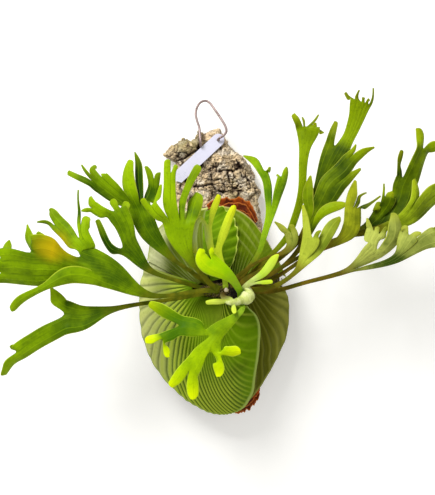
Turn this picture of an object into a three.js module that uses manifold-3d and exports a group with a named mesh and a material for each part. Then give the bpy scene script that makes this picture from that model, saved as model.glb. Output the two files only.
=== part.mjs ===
// Staghorn fern growing on a slab of cork bark that hangs from a wire bail.
// Millimetres, +Z up. The slab's flat back lies in the plane y = 0 and the plant grows towards -Y.
// Places on the plant are given as x, distance out from that plane, and z.
import * as THREE from 'three';
import { mergeVertices } from 'three/addons/utils/BufferGeometryUtils.js';
import Module from 'manifold-3d';

const wasm = await Module();
wasm.setup();

// Driving dimensions.
const fitGap = 0.3;
const slabThickness = 30;
const slabDressedTop = 106;
const slabRelief = 2.4;
const wireRadius = 1.6;
const wireTurnOut = 40;
const wireTailOut = 4.6;
const wireTailLength = 14;
const wireTailBend = 5;
const labelLength = 90;
const labelWidth = 17;
const labelThickness = 0.8;
const labelOut = 33.4;
const labelTilt = 133;
const labelNotch = 5;
const ball = {
  x: -3, z: -54, halfWidth: 97, halfHeight: 138, foot: 30.3, bulge: 64,
  roundness: 2.5, flare: 0.12, tuck: 0.95, rings: 9, around: 32, crowding: 1.3,
};
const crown = { x: 8, out: 106, z: -25, halfLength: 47, halfDepth: 29, halfHeight: 17 };
const bud = { x: 42, out: 127, z: -38, radius: 8.5 };
const bladeHalfThickness = 0.42;
const stalkHalfThickness = 1.4;
const stalkTaper = 70;
const shieldHalfThickness = 0.6;
const ribHeight = 0.8;
const ribRise = 1.2;

const wireHoles = [[-23, 169], [1, 177]];

const place = (x, out, z) => new THREE.Vector3(x, -out, z);

function material(colour, roughness, metalness = 0) {
  return new THREE.MeshStandardMaterial({ color: colour, roughness, metalness });
}

// Boolean cuts: a geometry becomes a solid, is cut, and comes back as a geometry.
function solidOf(geometry) {
  const bare = geometry.clone();
  bare.deleteAttribute('normal');
  bare.deleteAttribute('uv');
  const merged = mergeVertices(bare, 1e-3);
  const vertProperties = new Float32Array(merged.attributes.position.array);
  const triVerts = new Uint32Array(merged.index.array);
  return new wasm.Manifold(new wasm.Mesh({ numProp: 3, vertProperties, triVerts }));
}

function geometryOf(solid) {
  const mesh = solid.getMesh();
  const geometry = new THREE.BufferGeometry();
  geometry.setAttribute('position', new THREE.BufferAttribute(new Float32Array(mesh.vertProperties), 3));
  geometry.setIndex(new THREE.BufferAttribute(new Uint32Array(mesh.triVerts), 1));
  geometry.computeVertexNormals();
  return geometry;
}

function cut(geometry, cutters) {
  return geometryOf(cutters.reduce((solid, cutter) => solid.subtract(solidOf(cutter)), solidOf(geometry)));
}

// A sheet is a surface of points with normals, half thicknesses and triangles. It becomes a closed
// plate with the same triangles on both faces and a rim of triangles along every open edge.
function newSheet() {
  return { points: [], normals: [], halves: [], triangles: [] };
}

function addQuad(sheet, a, b, c, d) {
  if (a !== b) sheet.triangles.push([a, b, c]);
  if (c !== d) sheet.triangles.push([a, c, d]);
}

function openEdges(triangles) {
  const seen = new Map();
  for (const corners of triangles) {
    corners.forEach((from, i) => seen.set(`${from}_${corners[(i + 1) % 3]}`, [from, corners[(i + 1) % 3]]));
  }
  return [...seen.values()].filter(([from, to]) => !seen.has(`${to}_${from}`));
}

function plateOf(sheet) {
  const count = sheet.points.length;
  const corners = [];
  for (const side of [1, -1]) {
    sheet.points.forEach((point, i) => {
      corners.push(...point.clone().addScaledVector(sheet.normals[i], side * sheet.halves[i]).toArray());
    });
  }
  const index = [];
  for (const [a, b, c] of sheet.triangles) index.push(a, b, c, a + count, c + count, b + count);
  for (const [a, b] of openEdges(sheet.triangles)) index.push(b, a, a + count, b, a + count, b + count);
  const geometry = new THREE.BufferGeometry();
  geometry.setAttribute('position', new THREE.BufferAttribute(new Float32Array(corners), 3));
  geometry.setIndex(index);
  return geometry;
}

// Fronds. A frond is a tree of blades, blade(points, ...forks), from the stalk's foot in the crown to
// the tips. Each point is x, distance out, z and half width.
const blade = (points, ...forks) => ({ points, forks });

const frontward = new THREE.Vector3(0, -1, 0);

function itemOrLast(values, i) {
  return values[Math.min(i, values.length - 1)];
}

// Each station gets the blade's direction, its face and the side that the width runs along.
function stationsOf(points, before) {
  const places = points.map(([x, out, z]) => place(x, out, z));
  return points.map(([, , , half], i) => {
    const from = i > 0 ? places[i - 1] : before ?? places[0];
    const along = itemOrLast(places, i + 1).clone().sub(from).normalize();
    const face = frontward.clone().addScaledVector(along, -frontward.dot(along)).normalize();
    const side = along.clone().cross(face);
    return { centre: places[i], along, face, side, half };
  });
}

const firstHalf = (one) => one.points[0][3];

// Forks are put in order across the end of their parent, from its left edge to its right.
function forksInOrder(one, end) {
  const across = ({ points }) => place(...points[0]).sub(end.centre).dot(end.side);
  return [...one.forks].sort((a, b) => across(a) - across(b));
}

// The columns of a blade: where its lobes meet across its width, from 0 to 1.
function columnsOf(one) {
  if (one.forks.length === 0) return [0, 1];
  const stations = stationsOf(one.points);
  const forks = forksInOrder(one, stations[stations.length - 1]);
  const total = forks.reduce((sum, fork) => sum + firstHalf(fork), 0);
  const columns = [0];
  let start = 0;
  for (const fork of forks) {
    const share = firstHalf(fork) / total;
    columns.push(...columnsOf(fork).slice(1).map((value) => start + value * share));
    start += share;
  }
  return columns;
}

function addRow(sheet, station, columns, travelled) {
  const extra = stalkHalfThickness - bladeHalfThickness;
  const half = bladeHalfThickness + extra * Math.exp(-travelled / stalkTaper);
  return columns.map((column) => {
    const reach = (column * 2 - 1) * station.half;
    sheet.points.push(station.centre.clone().addScaledVector(station.side, reach));
    sheet.normals.push(station.face);
    sheet.halves.push(half);
    return sheet.points.length - 1;
  });
}

function joinRows(sheet, lower, upper) {
  for (let i = 0; i < lower.length - 1; i += 1) {
    addQuad(sheet, lower[i], lower[i + 1], itemOrLast(upper, i + 1), itemOrLast(upper, i));
  }
}

function growBlade(sheet, one, seam, before, travelledBefore) {
  const columns = columnsOf(one);
  const stations = stationsOf(one.points, before);
  let travelled = travelledBefore;
  let last = before;
  let row = seam;
  for (const station of stations) {
    if (last) travelled += station.centre.distanceTo(last);
    const next = addRow(sheet, station, columns, travelled);
    if (row) joinRows(sheet, row, next);
    row = next;
    last = station.centre;
  }
  const end = stations[stations.length - 1];
  if (one.forks.length === 0) {
    const tip = { ...end, centre: end.centre.clone().addScaledVector(end.along, end.half), half: 0 };
    joinRows(sheet, row, addRow(sheet, tip, [0.5], travelled));
    return;
  }
  let start = 0;
  for (const fork of forksInOrder(one, end)) {
    const width = columnsOf(fork).length;
    growBlade(sheet, fork, row.slice(start, start + width), end.centre, travelled);
    start += width - 1;
  }
}

function frondGeometry(frond) {
  const sheet = newSheet();
  growBlade(sheet, frond, null, null, 0);
  return plateOf(sheet);
}

// The foot of a stalk, larger by the fit, cuts its socket in the crown.
function socketGeometry(frond) {
  const stations = stationsOf(frond.points).slice(0, 3);
  const sheet = newSheet();
  let row = null;
  stations.forEach((station, i) => {
    const back = i === 0 ? -fitGap : 0;
    const centre = station.centre.clone().addScaledVector(station.along, back);
    const next = addRow(sheet, { ...station, centre, half: station.half + fitGap }, [0, 1], 0);
    if (row) joinRows(sheet, row, next);
    row = next;
  });
  sheet.halves = sheet.halves.map((half) => half + fitGap);
  return plateOf(sheet);
}

const fronds = {
  left_low: blade(
    [[-22, 110, -30, 2.4], [-44, 120, -34, 2.8], [-72, 128, -38, 3], [-104, 138, -42, 3.4],
      [-129, 146, -47, 4.6], [-147, 150, -51, 8.2], [-166, 153, -57, 14.8], [-181, 154, -57, 19],
      [-189, 154, -57, 21.4]],
    blade([[-207, 152, -75, 12], [-226, 148, -86, 11.3], [-243, 144, -97, 11.6], [-251, 142, -103, 10.8]],
      blade([[-261, 137, -114, 6], [-267, 133, -122, 4.4], [-272, 128, -130, 3.3]]),
      blade([[-257, 141, -96, 4.4]])),
    blade([[-197, 155, -38, 8.8], [-202, 156, -29, 6], [-206, 157, -22, 2.2]])),
  left_broad: blade(
    [[-18, 120, -25, 2.6], [-41, 130, -28, 3], [-66, 140, -31, 3.3], [-87, 148, -29, 5],
      [-106, 157, -20, 9.2], [-122, 165, -9, 14.8], [-136, 170, -1, 18.7]],
    blade([[-153, 180, -6, 9.2], [-169, 186, -3, 10.4], [-183, 190, -4, 10.4], [-196, 193, -10, 7.5],
        [-208, 194, -17, 4.3], [-224, 192, -25, 4.3], [-240, 188, -34, 5.2], [-249, 184, -44, 4.4]]),
    blade([[-150, 176, 9, 18.4], [-169, 178, 13, 23.2]],
      blade([[-187, 184, 8, 18.2], [-203, 188, 12, 28.5], [-215, 190, 14, 31.5], [-223, 191, 13, 30.8]],
        blade([[-246, 192, 6, 23.6], [-262, 190, 5, 20]],
          blade([[-277, 187, -8, 6.8], [-289, 184, -11, 4.4]]),
          blade([[-255, 190, 29, 6], [-252, 189, 38, 1.2]]),
          blade([[-280, 187, 14, 7.8], [-292, 184, 17, 4.9]])),
        blade([[-228, 191, 39, 6.3], [-230, 189, 51, 2.9], [-231, 188, 57, 1.1]]),
        blade([[-212, 191, 43, 5.6], [-217, 190, 47, 2.4]])),
      blade([[-160, 175, 28, 12.2], [-170, 174, 39, 15.4]],
        blade([[-185, 170, 48, 9.8], [-197, 168, 59, 9.9]],
          blade([[-210, 166, 61, 2.7], [-222, 165, 61, 1]]),
          blade([[-203, 166, 71, 6.2], [-205, 165, 75, 4.2]])),
        blade([[-165, 170, 56, 8.4]],
          blade([[-170, 168, 72, 2], [-172, 167, 87, 1.2], [-172, 166, 100, 1]]),
          blade([[-162, 169, 63, 5.4]]))))),
  left_middle: blade(
    [[-20, 104, -22, 2.4], [-42, 114, -16, 2.8], [-63, 121, -9, 3.2], [-83, 127, -1, 4.2],
      [-96, 132, 11, 7.4], [-107, 136, 25, 11.4], [-115, 139, 33, 16.1]],
    blade([[-133, 142, 28, 5.8], [-141, 143, 41, 4.5], [-146, 143, 53, 4], [-150, 143, 62, 3.3]]),
    blade([[-116, 141, 55, 11.6], [-122, 142, 67, 13.4], [-127, 142, 76, 14.6]],
      blade([[-146, 143, 74, 7.8], [-155, 144, 80, 7.5]],
        blade([[-163, 144, 77, 3.3], [-170, 144, 76, 1.3]]),
        blade([[-158, 144, 84, 5.5], [-160, 144, 91, 3]])),
      blade([[-131, 142, 86, 5]]),
      blade([[-116, 141, 83, 5.6]]))),
  left_high: blade(
    [[-15, 106, -16, 2.4], [-35, 114, 0, 2.8], [-56, 119, 14, 3.6], [-72, 122, 31, 7.7], [-85, 124, 47, 12],
      [-94, 125, 65, 14.3], [-101, 125, 84, 15.3]],
    blade([[-129, 124, 96, 11.5], [-142, 123, 107, 12.8], [-151, 123, 115, 14]],
      blade([[-164, 122, 113, 4.3], [-177, 121, 119, 3.8], [-189, 120, 125, 3.3]]),
      blade([[-167, 122, 126, 2.3], [-173, 121, 135, 1]]),
      blade([[-160, 122, 128, 4.6], [-157, 122, 132, 3.3]]),
      blade([[-146, 123, 121, 4.3]])),
    blade([[-113, 126, 103, 9.2], [-114, 127, 125, 7.1], [-111, 127, 137, 4.6]]),
    blade([[-100, 123, 106, 4.6], [-101, 122, 124, 5.1], [-101, 121, 138, 4.3], [-105, 120, 151, 1]]),
    blade([[-86, 122, 91, 9.7], [-82, 121, 107, 6.9]],
      blade([[-86, 120, 122, 4.4], [-91, 119, 132, 2.3]]),
      blade([[-77, 121, 121, 4.1], [-74, 120, 125, 1.3]]))),
  left_front: blade(
    [[-8, 122, -18, 2.6], [-21, 137, -2, 3.6], [-33, 148, 14, 5.6], [-42, 156, 31, 11.2],
      [-47, 162, 48, 17.3], [-48, 164, 62, 20.8]],
    blade([[-72, 167, 69, 7.4], [-82, 168, 81, 7.9]],
      blade([[-91, 168, 87, 3.9]]),
      blade([[-73, 168, 92, 3.4], [-70, 168, 106, 1.5]])),
    blade([[-59, 167, 82, 8.9], [-59, 167, 103, 7.4], [-59, 167, 121, 7.4]],
      blade([[-62, 166, 134, 4.2]]),
      blade([[-52, 166, 129, 3]])),
    blade([[-45, 164, 80, 4.2], [-40, 164, 97, 4.2], [-33, 163, 113, 4.7], [-25, 162, 127, 5.2]]),
    blade([[-31, 161, 74, 8.9], [-28, 160, 85, 9.2], [-25, 160, 90, 7.4]])),
  right_inner: blade(
    [[28, 104, -13, 2.4], [42, 109, 6, 2.8], [54, 108, 24, 3.4], [60, 104, 44, 3.9], [66, 100, 63, 4.7],
      [70, 97, 80, 7.2]],
    blade([[66, 94, 99, 5.2], [65, 92, 117, 5.5], [60, 90, 130, 6.5]],
      blade([[51, 88, 142, 5.4], [43, 87, 147, 3.8], [35, 86, 150, 1.2]]),
      blade([[68, 89, 130, 3.2], [69, 88, 134, 2]])),
    blade([[77, 95, 95, 5.4], [83, 94, 112, 6.8], [86, 93, 121, 6.8]],
      blade([[79, 92, 125, 1.8]]),
      blade([[90, 92, 129, 3.9], [91, 91, 134, 1.8]]))),
  right_tall: blade(
    [[36, 98, -12, 2.4], [58, 103, 9, 2.8], [76, 102, 27, 3.4], [91, 101, 44, 4.2], [99, 100, 63, 4.7],
      [106, 99, 85, 4.8], [110, 98, 110, 5], [111, 98, 133, 5.4], [113, 98, 156, 6.8], [115, 98, 169, 10.2],
      [117, 98, 180, 14.1], [117, 98, 187, 15.4]],
    blade([[104, 98, 194, 4.7], [100, 97, 201, 3.1]]),
    blade([[113, 98, 193, 1.6], [111, 97, 199, 1]]),
    blade([[125, 98, 193, 1.7], [131, 96, 202, 1]]),
    blade([[128, 99, 188, 3.6], [127, 99, 190, 2.3]]),
    blade([[133, 99, 180, 3.1], [137, 99, 179, 1.3]])),
  right_high: blade(
    [[32, 118, -13, 2.5], [60, 120, 2, 2.9], [82, 121, 18, 3.4], [102, 122, 37, 4.1], [113, 122, 57, 4.9],
      [123, 122, 84, 5.9], [131, 122, 109, 7.4], [138, 123, 128, 10.5], [145, 125, 143, 14],
      [152, 127, 157, 16]],
    blade([[144, 128, 169, 5.3], [147, 128, 180, 4.1], [150, 128, 188, 2.8]]),
    blade([[165, 130, 167, 7.9], [171, 132, 180, 8.6], [177, 134, 196, 10.4], [180, 135, 208, 13.2],
        [182, 136, 214, 14.4]],
      blade([[166, 136, 218, 3], [162, 136, 224, 2]]),
      blade([[175, 137, 219, 2.8], [178, 137, 228, 1]]),
      blade([[184, 137, 218, 2]]),
      blade([[190, 137, 216, 2.3]]),
      blade([[196, 137, 219, 1.6], [196, 137, 230, 1]]))),
  right_dark: blade(
    [[40, 109, -17, 2.4], [70, 115, -4, 2.8], [93, 121, 15, 3.6], [109, 127, 36, 4.6], [117, 131, 56, 7.1]],
    blade([[127, 135, 77, 10.1], [138, 138, 96, 14.6], [146, 139, 111, 16.4]],
      blade([[156, 139, 127, 10.8], [166, 140, 140, 9.8]],
        blade([[170, 140, 151, 3.5], [174, 140, 159, 1.1]]),
        blade([[180, 141, 147, 5.5], [189, 141, 153, 3], [196, 142, 156, 1.3]])),
      blade([[161, 140, 114, 7.6], [171, 140, 122, 4.3], [179, 141, 128, 2]])),
    blade([[129, 137, 71, 5.3], [143, 140, 80, 6.6], [155, 142, 83, 5], [160, 143, 84, 2.8]]),
    blade([[117, 133, 74, 4.6], [115, 132, 88, 6.2], [115, 131, 101, 6.4], [117, 131, 114, 3.4],
      [118, 131, 120, 1.4]])),
  right_near: blade(
    [[42, 120, -24, 2.6], [67, 133, -21, 3], [87, 142, -10, 3.5], [101, 149, 3, 4.5], [110, 154, 18, 9.2]],
    blade([[114, 158, 32, 9.9], [116, 160, 42, 10.4]],
      blade([[110, 161, 58, 4.5], [108, 162, 71, 3.2], [106, 162, 81, 1.6]]),
      blade([[123, 161, 46, 3.2], [127, 161, 50, 1.4]])),
    blade([[126, 156, 28, 6], [135, 157, 44, 7.5], [143, 158, 58, 7.2]],
      blade([[150, 158, 65, 3.7]]))),
  right_small: blade(
    [[20, 112, -13, 2], [40, 118, 4, 2.2], [61, 121, 16, 2.3], [78, 126, 21, 2.8], [90, 130, 28, 5.2],
      [94, 132, 37, 7.1], [93, 133, 48, 8.4]],
    blade([[83, 133, 53, 4.1], [77, 133, 59, 2.3], [73, 133, 62, 1]]),
    blade([[94, 133, 56, 3.5]])),
  right_low: blade(
    [[43, 110, -25, 2.6], [70, 124, -26, 3], [104, 136, -16, 3.2], [129, 146, -9, 3.4], [154, 156, -2, 4],
      [167, 161, 4, 5.7]],
    blade([[179, 164, 14, 7.9], [189, 167, 23, 11.8], [195, 169, 28, 13]],
      blade([[189, 170, 39, 9.8], [195, 171, 48, 13]],
        blade([[186, 171, 56, 3.7], [184, 171, 65, 1.2]]),
        blade([[196, 172, 53, 2.9]]),
        blade([[206, 172, 52, 3.4], [209, 172, 53, 1.5]])),
      blade([[209, 172, 33, 7.9], [217, 173, 44, 9.6], [218, 174, 58, 8.1]],
        blade([[217, 174, 68, 4.7]]))),
    blade([[187, 170, 6, 3], [205, 178, 11, 3.9], [219, 184, 18, 6.3]],
      blade([[225, 187, 33, 8], [231, 188, 45, 10.9]],
        blade([[227, 188, 52, 4.4]]),
        blade([[239, 190, 46, 4.1], [245, 190, 48, 1.7]])),
      blade([[236, 190, 27, 6.2], [250, 196, 38, 9.8], [261, 200, 43, 12.6]],
        blade([[264, 202, 52, 4.8], [268, 202, 61, 2.4]]),
        blade([[279, 205, 45, 4.5], [290, 207, 50, 2.4]])))),
  right_mid: blade(
    [[44, 104, -22, 2.4], [75, 108, -9, 2.8], [99, 120, 8, 3.1], [122, 130, 23, 3.3], [143, 138, 33, 4.3],
      [156, 143, 41, 6.5], [165, 147, 50, 10.5], [169, 149, 63, 10.8], [169, 150, 79, 10]],
    blade([[167, 151, 92, 6.2], [169, 151, 102, 4.7], [172, 151, 112, 2]]),
    blade([[176, 152, 87, 2.7], [177, 152, 94, 1.7], [185, 152, 98, 1]]),
    blade([[182, 153, 81, 3.2], [190, 154, 85, 1.5], [202, 155, 93, 1]])),
  right_far: blade(
    [[46, 98, -24, 2.4], [80, 100, -6, 2.8], [113, 103, 16, 3.1], [142, 107, 35, 3.5], [171, 113, 46, 4.1],
      [196, 119, 55, 9.6], [211, 124, 68, 16.4]],
    blade([[202, 126, 77, 5.2], [205, 126, 85, 3.6]]),
    blade([[216, 132, 86, 8.9], [217, 134, 93, 8.6]],
      blade([[211, 134, 103, 1.5], [211, 134, 110, 1]]),
      blade([[219, 134, 95, 6.1]])),
    blade([[233, 128, 90, 13.5], [236, 129, 104, 14], [241, 130, 116, 14.5]],
      blade([[231, 130, 125, 4.1], [230, 130, 134, 2], [231, 131, 143, 3.2], [233, 131, 151, 2.7]]),
      blade([[251, 131, 130, 10.2], [256, 132, 145, 9.1], [260, 133, 154, 9.4]],
        blade([[257, 133, 168, 5.6], [256, 133, 177, 4.6]]),
        blade([[270, 134, 157, 6.8], [281, 135, 159, 5.3], [290, 136, 163, 2.5]])))),
  right_back: blade(
    [[44, 92, -18, 2.4], [80, 101, 2, 2.8], [118, 113, 25, 3.1], [157, 124, 42, 3.3], [196, 134, 52, 4.6],
      [227, 142, 61, 7.5], [244, 146, 73, 12.5]],
    blade([[247, 147, 91, 5.8], [248, 148, 104, 4.8], [247, 148, 113, 3]]),
    blade([[261, 148, 87, 11.3], [274, 150, 97, 12.5]],
      blade([[284, 150, 109, 5.2], [291, 150, 118, 2.5]]),
      blade([[289, 151, 96, 5], [299, 151, 99, 2]]))),
  young_lime: blade([[31, 117, -31, 2.4], [22, 138, -14, 4.5], [9, 150, -2, 8.8], [-10, 157, 10, 13.6]],
    blade([[-21, 160, 18, 7.9], [-20, 161, 24, 4.7]]),
    blade([[-7, 160, 24, 3.7], [-7, 161, 29, 1.5]])),
  young_fork: blade(
    [[10, 118, -14, 2.4], [8, 127, 0, 3.8], [1, 130, 14, 6.6], [-3, 132, 27, 8.9]],
    blade([[-11, 134, 44, 4.8], [-12, 135, 57, 5]],
      blade([[-20, 139, 66, 3.8], [-27, 142, 60, 4], [-30, 144, 44, 4.1], [-29, 145, 26, 3.4]]),
      blade([[-7, 134, 72, 3.8], [-2, 133, 86, 4.1], [1, 132, 94, 3]])),
    blade([[6, 132, 43, 5.4], [11, 132, 57, 5.4], [16, 131, 71, 4.8], [20, 130, 80, 3.8]])),
  young_left: blade(
    [[7, 120, -34, 2.2], [19, 140, -38, 4.2]],
    blade([[20, 150, -46, 3], [21, 154, -50, 2.4]]),
    blade([[6, 146, -38, 2.8], [-4, 147, -38, 3.2], [-12, 147, -39, 2.6]])),
  young_right: blade(
    [[34, 124, -21, 2.2], [44, 138, -13, 3.5]],
    blade([[56, 143, -4, 4.4], [65, 146, 7, 5.2], [71, 148, 16, 4.4], [75, 149, 20, 1.9]]),
    blade([[57, 141, -14, 2.4], [67, 143, -13, 2.3]])),
  front_hanging: blade(
    [[29, 119, -37, 2.2], [32, 139, -46, 3], [26, 147, -53, 4.2], [16, 152, -62, 6.5], [2, 157, -72, 9.9],
      [-6, 160, -81, 12.9]],
    blade([[-10, 161, -97, 16.8]],
      blade([[4, 162, -103, 11]],
        blade([[15, 162, -99, 6.7], [22, 162, -98, 6.4]]),
        blade([[1, 162, -114, 7.2], [2, 162, -124, 5.9]])),
      blade([[-27, 160, -112, 11.2], [-34, 159, -121, 12.4]],
        blade([[-31, 158, -138, 7.7], [-30, 157, -152, 7]]),
        blade([[-48, 157, -130, 7.7], [-56, 156, -139, 5]]))),
    blade([[-23, 158, -71, 10.2], [-37, 157, -68, 11.7], [-46, 156, -67, 12.4]],
      blade([[-59, 155, -79, 7.2], [-69, 154, -83, 6.5]],
        blade([[-64, 153, -97, 4.5], [-63, 153, -104, 3.2]]),
        blade([[-81, 153, -84, 5.5], [-86, 152, -85, 4.7]])),
      blade([[-59, 155, -54, 7.5], [-72, 155, -46, 7], [-81, 154, -42, 5]]))),
};

// The root ball is a dome on the bark. Its height falls from the middle as the reach to a power, and
// flares out softly to a level brim past the foot.
function domeOut(x, z) {
  const reach = Math.hypot((x - ball.x) / ball.halfWidth, (z - ball.z) / ball.halfHeight);
  const fall = 1 - reach ** ball.roundness;
  return ball.foot + ball.bulge * (fall + Math.hypot(fall, ball.flare)) / 2;
}

function domeNormal(x, z) {
  const step = 0.5;
  const slopeX = (domeOut(x + step, z) - domeOut(x - step, z)) / (2 * step);
  const slopeZ = (domeOut(x, z + step) - domeOut(x, z - step)) / (2 * step);
  return new THREE.Vector3(-slopeX, -1, -slopeZ).normalize();
}

// Shield fronds. Their ribs start along the root line, bend at the belly line and end at the rim, each
// line a smooth curve through a few points of x and z. A shield lies on the dome, lifted by its layer.
function lineThrough(points) {
  return new THREE.CatmullRomCurve3(points.map(([x, z]) => new THREE.Vector3(x, 0, z)));
}

function ribPoint(from, bend, to, v) {
  return from.clone().multiplyScalar((1 - v) ** 2)
    .addScaledVector(bend, 2 * v * (1 - v))
    .addScaledVector(to, v ** 2);
}

function shieldGeometry({ root, belly, rim, ribs, lift, rimLift = 0, rows = 9, ridges = ribHeight }) {
  const lines = [root, belly, rim].map(lineThrough);
  const sheet = newSheet();
  const columns = ribs * 2;
  for (let row = 0; row <= rows; row += 1) {
    const v = row / rows;
    for (let column = 0; column <= columns; column += 1) {
      const [from, bend, to] = lines.map((line) => line.getPoint(column / columns));
      const { x, z } = ribPoint(from, bend, to, v);
      const ridge = (column % 2 ? 1 : -1) * ridges * Math.sin(Math.PI * Math.min(1, v * ribRise));
      const normal = domeNormal(x, z);
      const raise = lift + ridge + rimLift * v ** 3;
      sheet.points.push(place(x, domeOut(x, z), z).addScaledVector(normal, raise));
      sheet.normals.push(normal);
      sheet.halves.push(shieldHalfThickness);
    }
  }
  for (let row = 0; row < rows; row += 1) {
    for (let column = 0; column < columns; column += 1) {
      const corner = row * (columns + 1) + column;
      addQuad(sheet, corner, corner + 1, corner + columns + 2, corner + columns + 1);
    }
  }
  return plateOf(sheet);
}

const shields = {
  shield_old_upper: {
    root: [[-6, 40], [10, 40], [22, 38], [28, 32]],
    belly: [[-10, 66], [15, 70], [35, 66], [42, 52]],
    rim: [[-15, 90], [14, 97], [42, 93], [56, 68]],
    ribs: 5, lift: 1.3, rows: 5, ridges: 0,
  },
  shield_old_lower: {
    root: [[40, -120], [26, -128], [14, -130]],
    belly: [[54, -150], [40, -162], [22, -168]],
    rim: [[58, -172], [44, -190], [24, -198]],
    ribs: 5, lift: 1.3, rows: 5, ridges: 0,
  },
  shield_lower_right: {
    root: [[36, -20], [40, -25], [36, -30], [28, -34]],
    belly: [[66, -18], [74, -44], [66, -80], [44, -100]],
    rim: [[86, -26], [92, -50], [88, -90], [73, -123], [54, -155], [34, -184]],
    ribs: 10, lift: 6, rimLift: 1,
  },
  shield_left: {
    root: [[12, -34], [6, -35], [-2, -35], [-12, -34], [-22, -32], [-29, -28], [-30, -23], [-24, -18]],
    belly: [
      [16, -46], [8, -96], [-4, -146], [-34, -152], [-70, -120], [-84, -82], [-82, -40], [-70, -4],
    ],
    rim: [
      [34, -46], [47, -62], [49, -96], [45, -132], [41, -162], [27, -186], [6, -190],
      [-24, -178], [-49, -158], [-76, -126], [-91, -93], [-97, -56], [-97, -26], [-92, 4],
    ],
    ribs: 22, lift: 10, rimLift: 1.5, rows: 10,
  },
  shield_upper_left: {
    root: [[-28, -24], [-22, -18], [-10, -16]],
    belly: [[-66, 0], [-60, 24], [-22, 40]],
    rim: [[-95, 12], [-88, 46], [-56, 74], [-12, 80]],
    ribs: 8, lift: 6, rimLift: 1,
  },
  shield_upper_right: {
    root: [[10, -16], [19, -16], [28, -17], [34, -20]],
    belly: [[2, 44], [25, 42], [47, 28], [60, 4]],
    rim: [[0, 78], [24, 74], [42, 60], [56, 40], [68, 20], [84, -12]],
    ribs: 10, lift: 10, rimLift: 1.5,
  },
  shield_frill: {
    root: [[-14, 68], [-17, 40], [-15, 10], [-8, -16]],
    belly: [[-8, 70], [2, 48], [2, 14], [0, -14]],
    rim: [[-4, 78], [13, 66], [22, 42], [19, 12], [8, -12]],
    ribs: 9, lift: 15, rimLift: 2,
  },
};

// The bark slab: rings from a flat back out over the edge to a rough front, which is dressed flat where
// the root ball stands.
const slabOutline = [
  [-75, 159], [-66, 169], [-48, 181], [-38, 178], [-31, 181], [-26, 191], [-17, 187], [-9, 192], [2, 195],
  [6, 187], [12, 178], [22, 165], [36, 156], [48, 137], [55, 116], [60, 108], [56, 98], [62, 60], [66, 0],
  [62, -60], [54, -110], [30, -150], [0, -160], [-34, -150], [-58, -106], [-66, -50], [-64, 10], [-62, 60],
  [-60, 98], [-62, 110], [-59, 124], [-57, 147],
];

// Each ring's depth as a share of the slab's thickness, and its scale about the slab's middle.
const slabRings = [[0, 0.98], [0.27, 1], [0.67, 0.99], [0.9, 0.95], [1, 0.86], [1, 0.62], [1, 0.36]];

function slabRoughness(x, z) {
  const waves = Math.sin(x * 0.21 + z * 0.05) + Math.sin(z * 0.17 - x * 0.09) + Math.sin(x * 0.37 + z * 0.31);
  const above = THREE.MathUtils.smoothstep(z, slabDressedTop, slabDressedTop + 20);
  return slabRelief * above * (waves / 3);
}

function slabGeometry() {
  const middle = { x: 0, z: 20 };
  const rings = slabRings.map(([depth, scale]) => [depth * slabThickness, scale]);
  const count = slabOutline.length;
  const corners = [];
  rings.forEach(([out, scale], ring) => {
    for (const [x, z] of slabOutline) {
      const atX = middle.x + (x - middle.x) * scale;
      const atZ = middle.z + (z - middle.z) * scale;
      const rough = ring > 1 ? slabRoughness(atX, atZ) : 0;
      corners.push(atX, -(out + rough), atZ);
    }
  });
  corners.push(middle.x, -slabThickness, middle.z, middle.x, 0, middle.z);
  const front = rings.length * count;
  const index = [];
  for (let i = 0; i < count; i += 1) {
    const next = (i + 1) % count;
    for (let ring = 0; ring < rings.length - 1; ring += 1) {
      const a = ring * count;
      const b = a + count;
      index.push(a + i, b + i, b + next, a + i, b + next, a + next);
    }
    const last = front - count;
    index.push(last + i, front, last + next);
    index.push(i, next, front + 1);
  }
  const geometry = new THREE.BufferGeometry();
  geometry.setAttribute('position', new THREE.BufferAttribute(new Float32Array(corners), 3));
  geometry.setIndex(index);
  return geometry;
}

// The wire bail: out of one hole, up over the slab's top edge to the apex, down and into the other hole.
// Each tail is turned down flat in a groove in the slab's back.
function wirePoints() {
  const [[leftX, leftZ], [rightX, rightZ]] = wireHoles;
  const near = wireTailBend * 0.28;
  const tail = (x, z) => [
    [x, wireTailOut, z - wireTailLength], [x, wireTailOut, z - wireTailBend],
    [x, wireTailOut + near, z - near], [x, wireTailOut + wireTailBend, z],
  ];
  const straight = (x, z) => [15, 22, 29, wireTurnOut - 3].map((out) => [x, out, z]);
  return [
    ...tail(leftX, leftZ),
    ...straight(leftX, leftZ), [leftX, wireTurnOut, leftZ + 4],
    [-24, 37, 184], [-25, 33, 194], [-28, 27, 204], [-30, 22, 214], [-28, 19, 224], [-23, 17, 231],
    [-16, 16, 233], [-11, 17, 230], [-5, 20, 222], [1, 24, 213], [7, 29, 203], [11, 34, 195], [12, 38, 188],
    [8, 40, 182], [rightX + 2, wireTurnOut, rightZ + 2], ...straight(rightX, rightZ).reverse(),
    ...tail(rightX, rightZ).reverse(),
  ];
}

function tubeGeometry(points, radius, sides, steps) {
  const path = new THREE.CatmullRomCurve3(points.map((point) => place(...point)), false, 'centripetal');
  const ring = new THREE.Shape();
  ring.absarc(0, 0, radius, 0, Math.PI * 2, false);
  const settings = { steps, curveSegments: sides, bevelEnabled: false, extrudePath: path };
  return new THREE.ExtrudeGeometry(ring, settings);
}

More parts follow.
